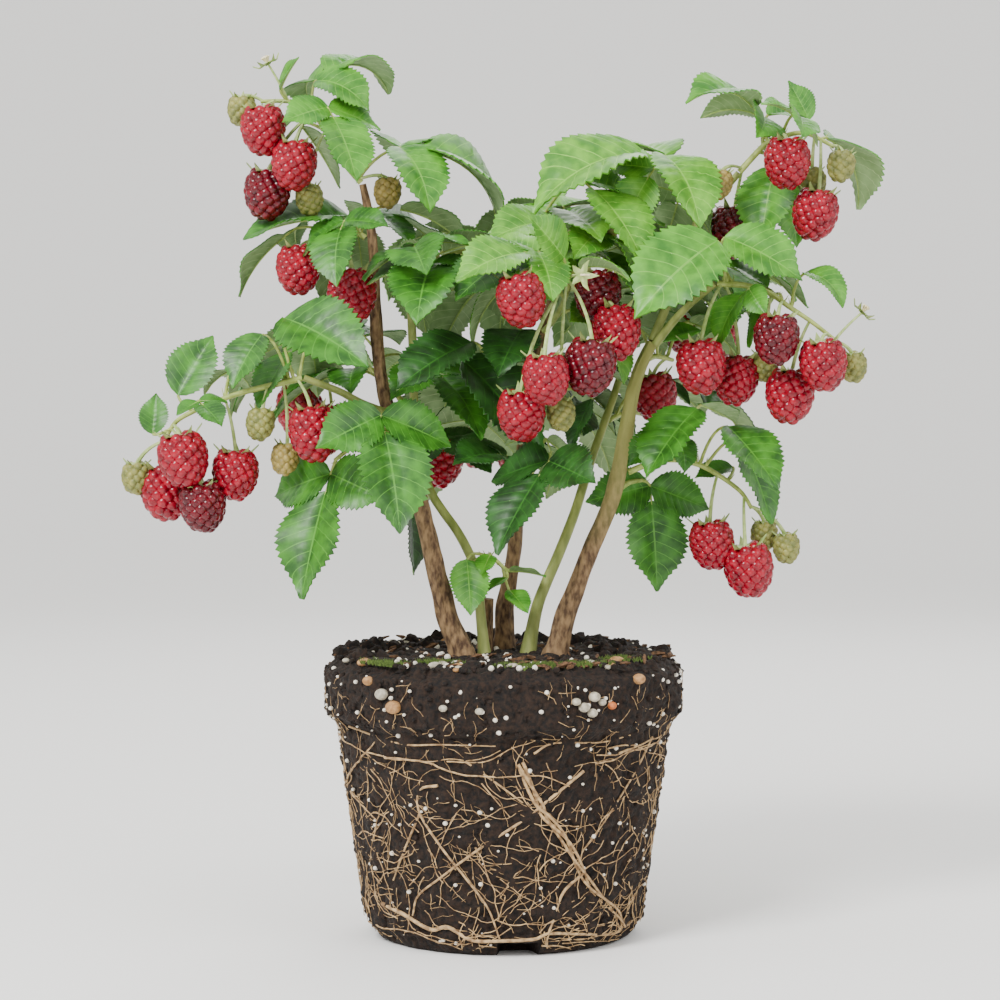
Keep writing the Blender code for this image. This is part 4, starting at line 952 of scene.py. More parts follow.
def limb_mesh(pile, limb, course, relief):
    """A cane or bough with its bark: long ridges and flakes on old wood, faint ribs on green."""
    fine = smooth_course(course, 5)
    radii = limb_radii(limb, fine)
    sides = CANE_SIDES
    points, faces = tube(fine, [1.0] * len(fine), sides, flat_foot=limb.grows_from == "root_ball")
    ripples = BARK_RIPPLES if limb.paint == BARK else STEM_RIPPLES
    for i, centre in enumerate(fine):
        for k in range(sides):
            out = points[i * sides + k] - centre
            spot = centre + out * radii[i]
            rough = noise.noise(Vector((out.x * 2.2, out.y * 2.2, centre.z * ripples / 3)))
            ridge = abs(noise.noise(Vector((out.x * 5, out.y * 5, centre.z * ripples / 8)))) - 0.2
            points[i * sides + k] = spot + out * radii[i] * relief * (0.5 * rough + ridge)
    pile.add(points, faces)


def linear(colour):
    """A hex sRGB colour as linear values. A colour from a property is linear already."""
    if not isinstance(colour, str):
        return list(colour)
    parts = [int(colour[i:i + 2], 16) / 255 for i in (1, 3, 5)]
    return [p / 12.92 if p <= 0.04045 else ((p + 0.055) / 1.055) ** 2.4 for p in parts]


def add_node(tree, kind, settings=None, links=None):
    """Adds a node, sets its properties and inputs, and links other nodes' outputs to it."""
    made = tree.nodes.new(kind)
    for key, value in (settings or {}).items():
        if isinstance(key, int) or key in made.inputs:
            made.inputs[key].default_value = value
        else:
            setattr(made, key, value)
    for key, output in (links or {}).items():
        tree.links.new(output, made.inputs[key])
    return made


def grained(name, light, dark, roughness, grain_mm, bump, stretch=(1, 1, 1), ior=1.45,
            subsurface=0.0, contrast=(0.35, 0.65)):
    """A material of two shades in a noise of that grain size, with the same noise as relief."""
    made = bpy.data.materials.new(name)
    made.use_nodes = True
    tree = made.node_tree
    shader = tree.nodes["Principled BSDF"]
    place = add_node(tree, "ShaderNodeTexCoord")
    scaled = add_node(tree, "ShaderNodeMapping", {"Scale": stretch},
                      {"Vector": place.outputs["Object"]})
    grain = add_node(tree, "ShaderNodeTexNoise", {"Scale": 1 / (grain_mm * MM), "Detail": 5.0},
                     {"Vector": scaled.outputs["Vector"]})
    ramp = add_node(tree, "ShaderNodeValToRGB", None, {"Fac": grain.outputs["Fac"]})
    ramp.color_ramp.elements[0].position = contrast[0]
    ramp.color_ramp.elements[1].position = contrast[1]
    ramp.color_ramp.elements[0].color = (*linear(dark), 1)
    ramp.color_ramp.elements[1].color = (*linear(light), 1)
    relief = add_node(tree, "ShaderNodeBump", {"Strength": 1.0, "Distance": bump * MM},
                      {"Height": grain.outputs["Fac"]})
    tree.links.new(ramp.outputs["Color"], shader.inputs["Base Color"])
    tree.links.new(relief.outputs["Normal"], shader.inputs["Normal"])
    shader.inputs["Roughness"].default_value = roughness
    shader.inputs["IOR"].default_value = ior
    shader.inputs["Subsurface Weight"].default_value = subsurface
    shader.inputs["Subsurface Radius"].default_value = (0.004, 0.002, 0.001)
    return made


def recoloured(paint, colour, share):
    """Mixes a colour into the material's own by the share that a node gives."""
    tree = paint.node_tree
    ramp = next(node for node in tree.nodes if node.type == "VALTORGB")
    mixed = add_node(tree, "ShaderNodeMix", {"data_type": "RGBA", 7: (*linear(colour), 1)},
                     {6: ramp.outputs["Color"], 0: share})
    tree.links.new(mixed.outputs[2], tree.nodes["Principled BSDF"].inputs["Base Color"])


def leaf_skin(name, light, dark, vein, roughness):
    """A leaf's skin: mottled green with paler midrib and side veins in the blade's own layout."""
    made = grained(name, light, dark, roughness, 9.0, 0.25)
    tree = made.node_tree
    place = add_node(tree, "ShaderNodeUVMap", {"uv_map": "blade"})
    split = add_node(tree, "ShaderNodeSeparateXYZ", None, {"Vector": place.outputs["UV"]})
    result = split.outputs["Y"]
    for operation, second in (("SUBTRACT", 0.5), ("ABSOLUTE", 0.0)):
        step = add_node(tree, "ShaderNodeMath", {"operation": operation, 1: second}, {0: result})
        result = step.outputs[0]
    away = result
    swept = add_node(tree, "ShaderNodeMath", {"operation": "MULTIPLY", 1: 2 * VEIN_SWEEP}, {0: away})
    share = add_node(tree, "ShaderNodeMath", {"operation": "SUBTRACT"},
                     {0: split.outputs["X"], 1: swept.outputs[0]})
    result = share.outputs[0]
    for operation, second in (("MULTIPLY", VEINS * math.pi), ("SINE", 0.0), ("ABSOLUTE", 0.0),
                              ("LESS_THAN", VEIN_WIDTH)):
        step = add_node(tree, "ShaderNodeMath", {"operation": operation, 1: second}, {0: result})
        result = step.outputs[0]
    midrib = add_node(tree, "ShaderNodeMath", {"operation": "LESS_THAN", 1: MIDRIB_WIDTH}, {0: away})
    either = add_node(tree, "ShaderNodeMath", {"operation": "MAXIMUM"},
                      {0: result, 1: midrib.outputs[0]})
    recoloured(made, vein, either.outputs[0])
    return made


def greener_above(paint, colour, heights):
    """Turns a bark to another colour between two heights in metres."""
    tree = paint.node_tree
    place = add_node(tree, "ShaderNodeTexCoord")
    split = add_node(tree, "ShaderNodeSeparateXYZ", None, {"Vector": place.outputs["Object"]})
    rise = add_node(tree, "ShaderNodeMapRange", {"From Min": heights[0], "From Max": heights[1]},
                    {"Value": split.outputs["Z"]})
    recoloured(paint, colour, rise.outputs["Result"])


def moss_tuft(pile, spot, rng):
    """A tuft of moss: short leafy blades standing every way from one spot."""
    for _ in range(MOSS_BLADES):
        lean = Vector((rng.uniform(-0.7, 0.7), rng.uniform(-0.7, 0.7), 1)).normalized()
        height = rng.uniform(1.5, 3.5) * MM
        side = lean.cross(Vector((0.3, 0.9, 0.1))).normalized() * MOSS_BLADE_WIDTH * MM
        other = lean.cross(side.normalized()) * MOSS_BLADE_WIDTH * MM
        foot = [spot + side, spot + other, spot - side, spot - other]
        pile.add([*foot, spot + lean * height],
                 [(0, 1, 4), (1, 2, 4), (2, 3, 4), (3, 0, 4), (3, 2, 1, 0)])


def wall_radius(height):
    """The root ball's radius in millimetres at a height on its side."""
    if height < FOOT_ROUNDING:
        return FOOT_RADIUS - FOOT_ROUNDING * (1 - math.sqrt(max(0.0, height / FOOT_ROUNDING)))
    if height < COLLAR_FOOT_HEIGHT:
        return FOOT_RADIUS + (WALL_TOP_RADIUS - FOOT_RADIUS) * height / COLLAR_FOOT_HEIGHT
    if height < COLLAR_FOOT_HEIGHT + COLLAR_STEP:
        rise = (height - COLLAR_FOOT_HEIGHT) / COLLAR_STEP
        return WALL_TOP_RADIUS + (RIM_RADIUS - 1.5 * COLLAR_INSET - WALL_TOP_RADIUS) * rise
    past_rounding = max(0.0, height - RIM_HEIGHT + RIM_ROUNDING)
    return RIM_RADIUS - COLLAR_INSET - past_rounding * RIM_SLOPE


def on_ball(angle, reach, height):
    """The point at that angle round the ball, distance from its axis and height."""
    return mm((math.cos(angle) * reach, math.sin(angle) * reach, height))


def in_notch(angle):
    """Whether an angle round the ball lies in one of the notches of its foot."""
    half = math.degrees(NOTCH_WIDTH / 2 / FOOT_RADIUS)
    turn = (math.degrees(angle) - NOTCH_START) % (360 / NOTCH_COUNT)
    return min(turn, 360 / NOTCH_COUNT - turn) < half


def ball_point(angle, radius, height, rough):
    """A point on the crumbly surface at that angle, radius and height in millimetres."""
    out = Vector((math.cos(angle), math.sin(angle), 0))
    spot = out * radius + Vector((0, 0, height))
    crumb = sum(noise.noise(spot / spacing) * rise for spacing, rise in CRUMBS)
    if radius < RIM_RADIUS - TOP_INSET and height > RIM_HEIGHT - 2:
        clods = abs(noise.noise(spot / TOP_CLOD_SPACING)) * TOP_CLOD_HEIGHT
        spot.z += (crumb * TOP_CRUMB_SHARE + clods) * rough
    else:
        spot += out * (crumb - CRUMB_SINK) * rough
    return mm(spot)


def build_ball(pile):
    """The root ball's surface: underside, side with its collar, and crumbly top."""
    rows = [(radius, 0.0, 0.0) for radius in UNDERSIDE_RADII]
    heights = [i * SIDE_ROW for i in range(SIDE_ROWS)]
    rows += [(wall_radius(height), height, min(1.0, height / 3)) for height in heights]
    rows += [(RIM_RADIUS - TOP_INSET - i * TOP_ROW, SOIL_LEVEL - max(0.0, 3 - i), 1.0)
             for i in range(TOP_ROWS)]
    points = []
    for radius, height, rough in rows:
        for k in range(BALL_SIDES):
            angle = 2 * math.pi * k / BALL_SIDES
            reach = radius
            if height < NOTCH_HEIGHT and in_notch(angle):
                reach = min(radius, NOTCH_INNER_RADIUS)
            points.append(ball_point(angle, reach, height, rough))
    caps = [tuple(reversed(range(BALL_SIDES))),
            tuple(range(len(points) - BALL_SIDES, len(points)))]
    pile.add(points, bands(len(rows), BALL_SIDES) + caps)


def root_run(pile, angle, height, heading, kind, rng, ceiling=COLLAR_FOOT_HEIGHT + 1):
    """A root that wanders over the ball's side, half sunk in the soil."""
    length, radius = rng.uniform(*kind.length), rng.uniform(*kind.radius)
    course = []
    for _ in range(int(length / ROOT_STEP)):
        if not 2 < height < ceiling or (height < NOTCH_HEIGHT + 2 and in_notch(angle)):
            break
        reach = wall_radius(height) - ROOT_SINK
        reach += noise.noise(Vector((angle * 20, height / 6, 3))) * 0.8
        course.append(on_ball(angle, reach, height))
        heading += rng.uniform(-kind.wander, kind.wander)
        angle += math.cos(heading) * ROOT_STEP / reach
        height += math.sin(heading) * ROOT_STEP
    if len(course) > 3:
        pile.add(*tube(course, tapered(course, radius * MM, radius * ROOT_TAPER * MM), 5))


def front_spot(across, up, sink):
    """The point on the ball's front at that distance across and height, in millimetres."""
    reach = wall_radius(up) - sink
    return mm((across, -math.sqrt(max(1.0, reach * reach - across * across)), up))


def thick_root(pile, course, radius):
    """A root thick enough to stand out of the soil."""
    radii = tapered(course, radius * MM, radius * FRONT_ROOT_TAPER * MM)
    pile.add(*tube(course, radii, FRONT_ROOT_SIDES))


def build_roots(pile):
    """The net of roots: the thick ones that show on the front, then finer ones all round."""
    rng = random.Random(31)
    for radius, *spots in FRONT_ROOTS:
        course = smooth_course([front_spot(x, z, 0.9) for x, z in spots], FRONT_ROOT_STEPS)
        thick_root(pile, course, radius)
    middle = smooth_course([front_spot(x, z, 0.6) for x, z in BRAID], FRONT_ROOT_STEPS)
    for strand in range(BRAID_STRANDS):
        course = []
        for i, spot in enumerate(middle):
            turn = 2 * math.pi * strand / BRAID_STRANDS + i * BRAID_TWIST
            aside = Vector((math.cos(turn), 0.4 * math.sin(turn), 0.5 * math.cos(turn)))
            course.append(spot + aside * BRAID_SPREAD * MM)
        thick_root(pile, course, BRAID_RADIUS)
    for _ in range(FINE_ROOTS.count):
        height = 3 + (COLLAR_FOOT_HEIGHT - 14) * rng.random() ** 1.4
        root_run(pile, rng.uniform(0, 2 * math.pi), height, rng.uniform(-math.pi, math.pi),
                 FINE_ROOTS, rng)
    for _ in range(LEVEL_ROOTS.count):
        angle = rng.uniform(0, 2 * math.pi)
        height = rng.choice((rng.uniform(3, 12), rng.uniform(98, 108)))
        root_run(pile, angle, height, rng.uniform(-0.1, 0.1), LEVEL_ROOTS, rng)
    for _ in range(BACK_ROOTS.count):
        angle, height = rng.uniform(0, math.pi), rng.uniform(40, 104)
        root_run(pile, angle, height, rng.choice((-1.6, 0.0)), BACK_ROOTS, rng)
    for _ in range(COLLAR_FIBRES.count):
        angle, height = rng.uniform(0, 2 * math.pi), rng.uniform(6, RIM_HEIGHT - 4)
        root_run(pile, angle, height, rng.uniform(-math.pi, math.pi), COLLAR_FIBRES, rng, RIM_HEIGHT)


def clod(centre, radius, squash, rings, sides):
    """A rough lump of compost."""
    points, faces = ball(centre, radius, squash, rings, sides)
    return [centre + (p - centre) * (1 + 0.7 * noise.noise(p * 330)) for p in points], faces


def build_crumbs(pile):
    """Loose crumbs of compost: small ones on the side, larger clods round the top."""
    rng = random.Random(43)
    for _ in range(SIDE_CRUMBS):
        angle = rng.uniform(0, 2 * math.pi)
        height = rng.choice((rng.uniform(4, 110), rng.uniform(110, 143)))
        pile.add(*clod(on_ball(angle, wall_radius(height) - 1.4, height),
                       rng.uniform(0.5, 1.8) * MM, rng.uniform(0.6, 1.0), 4, 5))
    for _ in range(TOP_CRUMBS):
        angle, share = rng.uniform(0, 2 * math.pi), math.sqrt(rng.uniform(0.03, 1.0))
        radius = rng.uniform(0.9, 2.2)
        pile.add(*clod(on_ball(angle, share * (RIM_RADIUS - 6), SOIL_LEVEL + 0.6),
                       radius * MM, rng.uniform(0.6, 1.0), 4, 6))
    for _ in range(BACK_CLODS):
        angle, share = rng.uniform(-0.5, math.pi + 0.5), rng.uniform(0.62, 1.0)
        pile.add(*clod(on_ball(angle, share * (RIM_RADIUS - 9), SOIL_LEVEL + 1),
                       rng.uniform(2.5, 5.5) * MM, rng.uniform(0.7, 1.1), 8, 10))


def build_bits(beads, stones, chips, moss):
    """What lies on and in the compost: perlite, pebbles, bark chips and tufts of moss."""
    rng = random.Random(17)
    for _ in range(SIDE_BEADS):
        angle = rng.uniform(0, 2 * math.pi)
        height = rng.choice((rng.uniform(6, 110), rng.uniform(112, 142)))
        radius = rng.uniform(0.4, 1.5) * MM
        beads.add(*ball(on_ball(angle, wall_radius(height) - 1.2, height), radius, 0.85))
    for _ in range(TOP_BEADS):
        angle, reach = rng.uniform(0, 2 * math.pi), math.sqrt(rng.uniform(0.03, 0.85)) * RIM_RADIUS
        beads.add(*ball(on_ball(angle, reach, SOIL_LEVEL + 1.2), rng.uniform(0.7, 1.8) * MM))
    for across, up, radius, paint in COLLAR_PEBBLES:
        stones.add(*ball(front_spot(across, up, 0.6), radius * MM, 0.8, *PEBBLE_SIDES), paint)
    for _ in range(TOP_PEBBLES):
        angle, reach = rng.uniform(0, 2 * math.pi), rng.uniform(0.72, 0.93) * RIM_RADIUS
        radius = rng.uniform(1.8, 4.2)
        spot = on_ball(angle, reach, SOIL_LEVEL + radius * 0.2)
        stones.add(*ball(spot, radius * MM, 0.62, *PEBBLE_SIDES), rng.choice((0, 0, 1)))
    for _ in range(CHIPS):
        angle, reach = rng.uniform(0, 2 * math.pi), math.sqrt(rng.uniform(0.02, 0.9)) * RIM_RADIUS
        foot = on_ball(angle, reach, SOIL_LEVEL + 1.0)
        ahead = direction(rng.uniform(0, 360), rng.uniform(-4, 22))
        reach = rng.uniform(4, 11) * MM
        course = [foot, foot + ahead * reach / 2 + Vector((0, 0, 0.3 * MM)), foot + ahead * reach]
        chips.add(*tube(course, [0.6 * MM, rng.uniform(0.8, 1.6) * MM, 0.4 * MM], 4))
    for _ in range(MOSS_PATCHES):
        middle, reach = math.radians(rng.uniform(-150, -30)), rng.uniform(62, 88)
        for _ in range(MOSS_TUFTS):
            angle = middle + rng.gauss(0, 0.09)
            radius = min(reach + rng.gauss(0, 5), RIM_RADIUS - TOP_INSET)
            moss_tuft(moss, on_ball(angle, radius, SOIL_LEVEL + 0.6), rng)


class RaspberrySizes(bpy.types.PropertyGroup):
    """Sizes of the finer detail."""

    bark_relief: bpy.props.FloatProperty(
        name="Bark relief", description="Height of the bark's ridges as a share of a cane's radius",
        default=0.3, min=0.0, max=0.5, subtype="FACTOR")
    stem_relief: bpy.props.FloatProperty(
        name="Green stem relief", description="Height of a green shoot's ribs as a share of its radius",
        default=0.08, min=0.0, max=0.5, subtype="FACTOR")
    quilting: bpy.props.FloatProperty(
        name="Leaf quilting", description="Swelling between side veins as a share of leaflet length",
        default=0.026, min=0.0, max=0.1, subtype="FACTOR")
    bark_grain: bpy.props.FloatProperty(
        name="Bark grain", description="Width of the flakes on old canes, in millimetres",
        default=1.6, min=0.1)
    soil_grain: bpy.props.FloatProperty(
        name="Compost grain", description="Size of the compost's crumbs, in millimetres",
        default=2.4, min=0.1)


def colour_property(name, description, code):
    """A colour that a user may change."""
    return bpy.props.FloatVectorProperty(name=name, description=description, subtype="COLOR",
                                         size=3, default=linear(code), min=0.0, max=1.0)


class RaspberryColours(bpy.types.PropertyGroup):
    """Base colours of the plant, each the lighter of its material's two shades."""

    leaf: colour_property("Leaf", "Upper side of a full-grown leaf", "#3f7f1e")
    fruit: colour_property("Fruit", "Ripe raspberry", "#9c0a24")
    cane: colour_property("Cane", "Bark of an old cane", "#8f7350")
    compost: colour_property("Compost", "Moist compost", "#281a10")
    root: colour_property("Root", "Feeding roots", "#c4a476")
    floor: colour_property("Floor", "The pale floor it is shown on", "#f4f3f0")


def tint_of(name):
    """The place of a spray's green among the leaf pieces."""
    for place, group in enumerate((SHADED_SPRAYS, FRESH, YOUNG)):
        if name in group:
            return place + 1
    return 0


def spray_course(spray):
    """A spray's stem, from clear of the limb that carries it."""
    course = smooth_course([mm(p) for p in spray.course], 2)
    return clear_start(course, SPRAY_STEM_RADIUS * MM, cad_tree(spray.grows_from))


def leaf_jobs(spray):
    """Every leaf of a spray with its seed: those listed, then those dealt by rule."""
    course = spray_course(spray)
    jobs = [(leaf, f"{spray.name} leaf {i}", False) for i, leaf in enumerate(spray.leaves)]
    for i in range(spray.fill):
        seed = f"{spray.name} fill {i}"
        jobs.append((rule_leaf(spray, course, i, random.Random(seed)), seed, True))
    return course, jobs


class RASPBERRY_OT_foliage(bpy.types.Operator):
    """Grow each spray's stem, leaf stalks and leaves"""

    bl_idname = "raspberry.foliage"
    bl_label = "Grow foliage"

    def execute(self, context):
        sizes, colours = context.scene.raspberry_sizes, context.scene.raspberry_colours
        twigs = Pile()
        sheets = [Pile() for _ in range(4)]
        for spray in SPRAYS:
            course, jobs = leaf_jobs(spray)
            fine = smooth_course(course, 4)
            twigs.add(*tube(fine, tapered(fine, SPRAY_STEM_RADIUS * MM, SPRAY_TIP_RADIUS * MM), 10))
            tree = cad_tree(spray.name)
            for leaf, seed, by_rule in jobs:
                node, _ = along(course, leaf.at)
                grown = grown_leaf(tree, node, leaf, seed, by_rule)
                if grown:
                    grow_leaf(sheets[tint_of(spray.name)], twigs, node, *grown, sizes.quilting, seed)
        if not any(pile.faces for pile in sheets):
            raise RuntimeError("no leaf of the source's rule lies on the packed solids")
        # Upper side of a raspberry leaf: a thin waxy skin over uneven flesh, so mottled green
        # with a soft sheen and paler veins. Light, dark and vein of the four tints of green; the
        # second, darker tint is painted shade for the sprays deep in the plant
        greens = ((colours.leaf, "#1f4d10", "#4f8c2c"), ("#26561a", "#112f0a", "#316620"),
                  ("#559826", "#2e6a16", "#68a238"), ("#68a52e", "#3b771b", "#7cb242"))
        # Its underside: felted with fine white hairs, so grey-green and dull
        under = leaf_skin("raspberry_leaf_underside", "#8fac74", "#728f58", "#a2ba84", 0.7)
        # Its midrib: firm and smooth, paler than the blade
        rib = grained("leaf_rib", "#a3bc68", "#86a24c", 0.55, 3.0, 0.1)
        names = [spray.name for spray in SPRAYS]
        for place, (light, dark, vein) in enumerate(greens):
            upper = leaf_skin(f"raspberry_leaf_{place + 1}", light, dark, vein, 0.42)
            group = [name for name in names if tint_of(name) == place]
            sheets[place].piece(f"leaves_{place + 1}", [upper, under, rib], "foliage", group)
        # Young raspberry stem: smooth green skin with a thin bloom of wax, so a soft highlight
        stem = grained("young_raspberry_stem", "#a9b662", "#7f8f3c", 0.5, 4.0, 0.15)
        twigs.piece("twigs", [stem], "foliage", names)
        return {"FINISHED"}


class RASPBERRY_OT_fruit(bpy.types.Operator):
    """Grow the ripe and the unripe berries with their sepals and stalks"""

    bl_idname = "raspberry.fruit"
    bl_label = "Grow fruit"

    def execute(self, context):
        colours = context.scene.raspberry_colours
        stalks, ripe, unripe = Pile(), Pile(), Pile()
        for spray in SPRAYS:
            course, tree = spray_course(spray), cad_tree(spray.name)
            for kind, berries in (("ripe", spray.ripe), ("unripe", spray.unripe)):
                width, length = RIPE if kind == "ripe" else UNRIPE
                for i, (share, *spot) in enumerate(berries):
                    rng = random.Random(f"{spray.name} {kind} {i}")
                    scale = rng.uniform(*BERRY_SIZES) * MM
                    lean = Vector((rng.uniform(-BERRY_LEAN, BERRY_LEAN),
                                   rng.uniform(-BERRY_LEAN, BERRY_LEAN), 1)).normalized()
                    node, _ = along(course, share)
                    for shift in BERRY_SHIFTS:
                        centre = mm(spot) + mm(shift)
                        if meets(tree, [centre - lean * length * scale / 2]):
                            grow_berry(ripe if kind == "ripe" else unripe, i % 3 // 2, stalks, node,
                                       centre, width * scale, length * scale, lean,
                                       RIPE_DRUPELETS if kind == "ripe" else UNRIPE_DRUPELETS)
                            break
        if not (ripe.faces and unripe.faces):
            raise RuntimeError("no berry lies on the packed solids")
        # Ripe raspberry: taut juicy skin, so deep red with small bright highlights, and light
        # that spreads a little under the skin. The ripest are nearly maroon
        red = grained("raspberry_flesh", colours.fruit, "#6c0416", 0.22, 4.0, 0.05, subsurface=0.15)
        dark = grained("ripe_raspberry_flesh", "#6e0718", "#42030e", 0.22, 4.0, 0.05, subsurface=0.15)
        # Unripe raspberry: hard and downy, so olive or straw brown and hardly glossy
        olive = grained("unripe_raspberry_flesh", "#8f8d48", "#626833", 0.5, 4.0, 0.05, subsurface=0.1)
        pale = grained("unripe_raspberry_blush", "#a08c4a", "#786a34", 0.5, 4.0, 0.05, subsurface=0.1)
        # Raspberry sepal: covered in pale down, so light green with no shine
        calyx = grained("raspberry_sepal", "#b3c27e", "#8ba356", 0.6, 3.0, 0.15)
        ripe.piece("ripe_berries", [red, dark], "foliage", [s.name for s in SPRAYS if s.ripe])
        unripe.piece("unripe_berries", [olive, pale], "foliage", [s.name for s in SPRAYS if s.unripe])
        stalks.piece("fruit_stalks", [calyx], "foliage", [s.name for s in SPRAYS if s.ripe or s.unripe])
        flowers = Pile()
        for spray in SPRAYS:
            for name, share, spot in BLOSSOMS:
                if name == spray.name:
                    node, _ = along(spray_course(spray), share)
                    grow_blossom(flowers, node, mm(spot))
        # Spent raspberry blossom: dry cream stamens, matt and a little uneven
        cream = grained("raspberry_stamens", "#ece3c4", "#cdbf90", 0.8, 2.0, 0.1)
        flowers.piece("blossoms", [calyx, cream], "foliage", [name for name, _, _ in BLOSSOMS])
        return {"FINISHED"}


class RASPBERRY_OT_canes(bpy.types.Operator):
    """Clothe the canes, shoots and boughs in bark"""

    bl_idname = "raspberry.canes"
    bl_label = "Grow canes"

    def execute(self, context):
        sizes, colours = context.scene.raspberry_sizes, context.scene.raspberry_colours
        flakes = sizes.bark_grain * 1.5
        # Old raspberry cane: dull brown, with long pale flakes where the thin bark peels. The
        # flakes are drawn half as wide again as they are, so that they show
        old = grained("raspberry_cane_bark", colours.cane, "#432f1e", 0.85, flakes, 0.6, (1, 1, 0.4))
        # Young raspberry shoot: smooth olive skin with a little bloom
        young = grained("raspberry_shoot_bark", "#98a057", "#74803c", 0.55, 5.0, 0.15, (1, 1, 0.3))
        # The right cane is younger and turns from brown to olive as it rises
        turning = grained("turning_cane_bark", colours.cane, "#4a3522", 0.8, flakes, 0.6, (1, 1, 0.4))
        greener_above(turning, "#8f8f4e", GREENING)
        for limb in LIMBS:
            points = [mm(p) for p in limb.course]
            stands = limb.grows_from == "root_ball"
            if stands:
                points[0].z = (SOIL_LEVEL + GAP) * MM
            course = smooth_course(points, 2)
            if not stands:
                course = clear_start(course, limb.foot * MM, cad_tree(limb.grows_from))
            pile = Pile()
            woody = limb.paint == BARK
            limb_mesh(pile, limb, course, sizes.bark_relief if woody else sizes.stem_relief)
            paint = turning if limb.name == "cane_right" else old if woody else young
            pile.piece(limb.name + "_bark", [paint], limb.paint, [limb.name])
        return {"FINISHED"}


class RASPBERRY_OT_root_ball(bpy.types.Operator):
    """Build the root ball with its roots, perlite, pebbles, bark chips and moss"""

    bl_idname = "raspberry.root_ball"
    bl_label = "Build root ball"

    def execute(self, context):
        sizes, colours = context.scene.raspberry_sizes, context.scene.raspberry_colours
        soil, roots, crumbs, beads, stones, chips, moss = (Pile() for _ in range(7))
        build_ball(soil)
        build_roots(roots)
        build_crumbs(crumbs)
        build_bits(beads, stones, chips, moss)
        # Moist peat compost: almost black, dull, with brown crumbs and fibres
        peat = grained("peat_compost", colours.compost, "#070403", 0.95, sizes.soil_grain, 1.5)
        # Feeding roots: pale tan, slightly waxy
        root = grained("raspberry_root", colours.root, "#7d5f3e", 0.7, 3.0, 0.1)
        # Expanded perlite: chalk white and dry
        perlite = grained("perlite", "#efe9dc", "#c9bfac", 0.9, 1.0, 0.1)
        # Gravel worn smooth by water: even grey, ochre or orange with a low sheen
        grey = grained("grey_pebble", "#c0b8a4", "#8d8573", 0.7, 2.0, 0.1)
        ochre = grained("ochre_pebble", "#b58a5a", "#8a6238", 0.7, 2.0, 0.1)
        orange = grained("orange_pebble", "#c9743c", "#9c4f22", 0.6, 2.0, 0.1)
        # Shredded bark: torn along its fibres, so streaky brown and matt
        chip = grained("bark_chip", "#6e4e33", "#33210f", 0.85, 1.5, 0.2)
        # Cushion moss: tufts of tiny leaves, so soft green with no shine
        green = grained("cushion_moss", "#5f7530", "#38491a", 0.85, 1.5, 0.1)
        for pile, name, paints in ((soil, "compost", [peat]), (crumbs, "crumbs", [peat]),
                                   (roots, "roots", [root]), (beads, "perlite_beads", [perlite]),
                                   (stones, "pebbles", [grey, ochre, orange]),
                                   (chips, "bark_chips", [chip]), (moss, "moss_tufts", [green])):
            pile.piece(name, paints, "soil", ["root_ball"])
        return {"FINISHED"}


def placed(name, data, place, aim=None):
    """A new object in the scene at that place, turned to look at the aim."""
    thing = bpy.data.objects.new(name, data)
    thing.location = place
    if aim:
        thing.rotation_euler = (Vector(aim) - Vector(place)).to_track_quat("-Z", "Y").to_euler()
    bpy.context.scene.collection.objects.link(thing)
    return thing


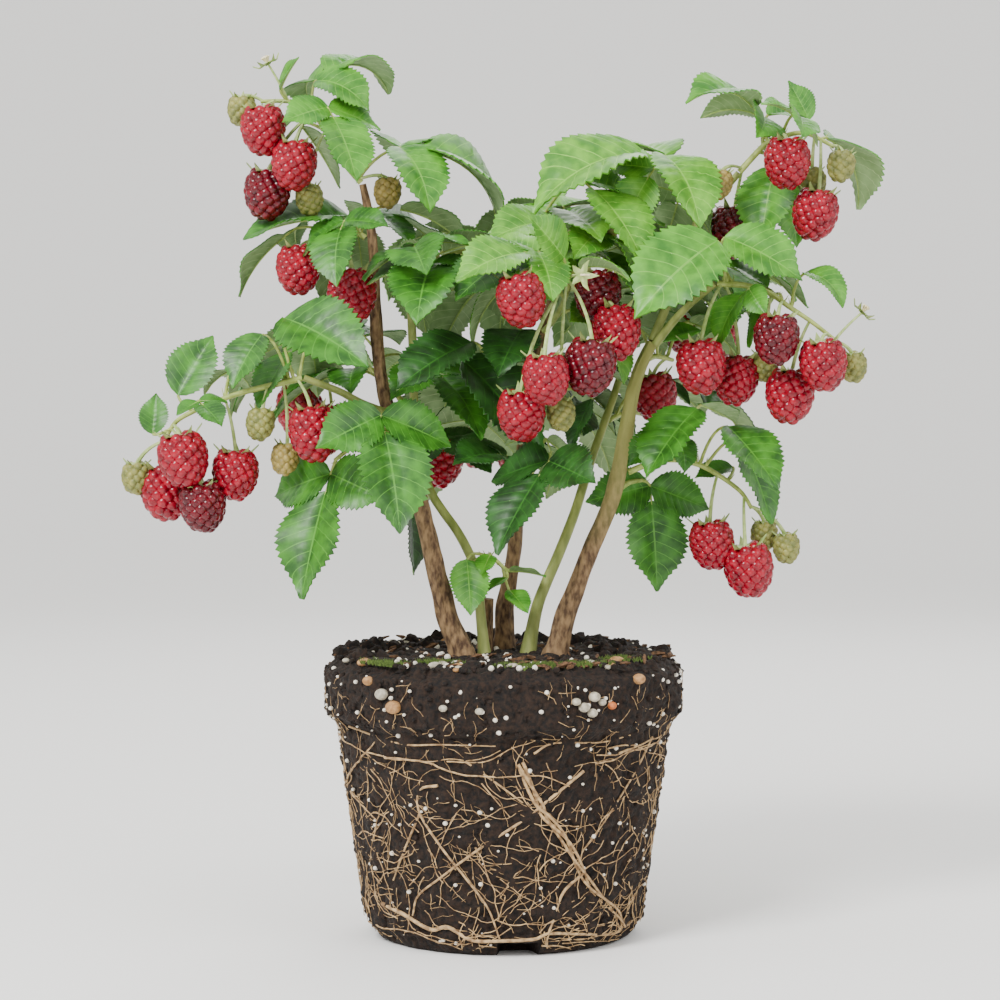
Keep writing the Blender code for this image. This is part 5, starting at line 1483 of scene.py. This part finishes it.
class RASPBERRY_OT_stage(bpy.types.Operator):
    """Set the pale floor, the soft lights and the camera"""

    bl_idname = "raspberry.stage"
    bl_label = "Set the stage"

    def execute(self, context):
        rows = [(FLOOR_FRONT, 0.0)]
        for step in range(SWEEP_STEPS + 1):
            turn = math.radians(90 * step / SWEEP_STEPS)
            rows.append((SWEEP_START + math.sin(turn) * SWEEP_BEND, (1 - math.cos(turn)) * SWEEP_BEND))
        rows.append((SWEEP_START + SWEEP_BEND, WALL_TOP))
        points = [(x, y, z) for y, z in rows for x in (-FLOOR_HALF_WIDTH, FLOOR_HALF_WIDTH)]
        mesh = bpy.data.meshes.new("floor")
        mesh.from_pydata(points, [], [(2 * i, 2 * i + 1, 2 * i + 3, 2 * i + 2)
                                      for i in range(len(rows) - 1)])
        mesh.shade_smooth()
        floor = placed("floor", mesh, (0, 0, 0))
        # Seamless background paper: even and matt, so it only catches soft shadows
        paint = bpy.data.materials.new("matt_paper_sweep")
        paint.use_nodes = True
        shader = paint.node_tree.nodes["Principled BSDF"]
        shader.inputs["Base Color"].default_value = (*context.scene.raspberry_colours.floor, 1)
        shader.inputs["Roughness"].default_value = 0.9
        mesh.materials.append(paint)
        world = bpy.data.worlds.new("studio")
        world.use_nodes = True
        back = world.node_tree.nodes["Background"]
        back.inputs["Color"].default_value = (1, 1, 1, 1)
        back.inputs["Strength"].default_value = SKY_STRENGTH
        context.scene.world = world
        for name, (place, size, power) in LAMPS.items():
            light = bpy.data.lights.new(name, "AREA")
            light.size, light.energy = size, power
            placed(name, light, place, LAMP_AIM)
        lens = bpy.data.cameras.new("camera")
        lens.lens = CAMERA_LENS
        context.scene.camera = placed("camera", lens, CAMERA_PLACE, CAMERA_AIM)
        return {"FINISHED"}


class RASPBERRY_PT_sidebar(bpy.types.Panel):
    """The sidebar panel with the sizes, colours and steps."""

    bl_label = "Raspberry plant"
    bl_idname = "RASPBERRY_PT_sidebar"
    bl_space_type = "VIEW_3D"
    bl_region_type = "UI"
    bl_category = "Raspberry"

    def draw(self, context):
        for group in (context.scene.raspberry_sizes, context.scene.raspberry_colours):
            for name in type(group).__annotations__:
                self.layout.prop(group, name)
        for step in STEPS:
            self.layout.operator(step.bl_idname)


STEPS = (RASPBERRY_OT_canes, RASPBERRY_OT_foliage, RASPBERRY_OT_fruit, RASPBERRY_OT_root_ball,
         RASPBERRY_OT_stage)
CLASSES = (RaspberrySizes, RaspberryColours, *STEPS, RASPBERRY_PT_sidebar)


def register():
    for cls in CLASSES:
        bpy.utils.register_class(cls)
    bpy.types.Scene.raspberry_sizes = bpy.props.PointerProperty(type=RaspberrySizes)
    bpy.types.Scene.raspberry_colours = bpy.props.PointerProperty(type=RaspberryColours)


def unregister():
    del bpy.types.Scene.raspberry_colours
    del bpy.types.Scene.raspberry_sizes
    for cls in reversed(CLASSES):
        bpy.utils.unregister_class(cls)


def main():
    register()
    bpy.ops.raspberry.canes()
    bpy.ops.raspberry.foliage()
    bpy.ops.raspberry.fruit()
    bpy.ops.raspberry.root_ball()
    bpy.ops.raspberry.stage()


if __name__ == "__main__":
    main()
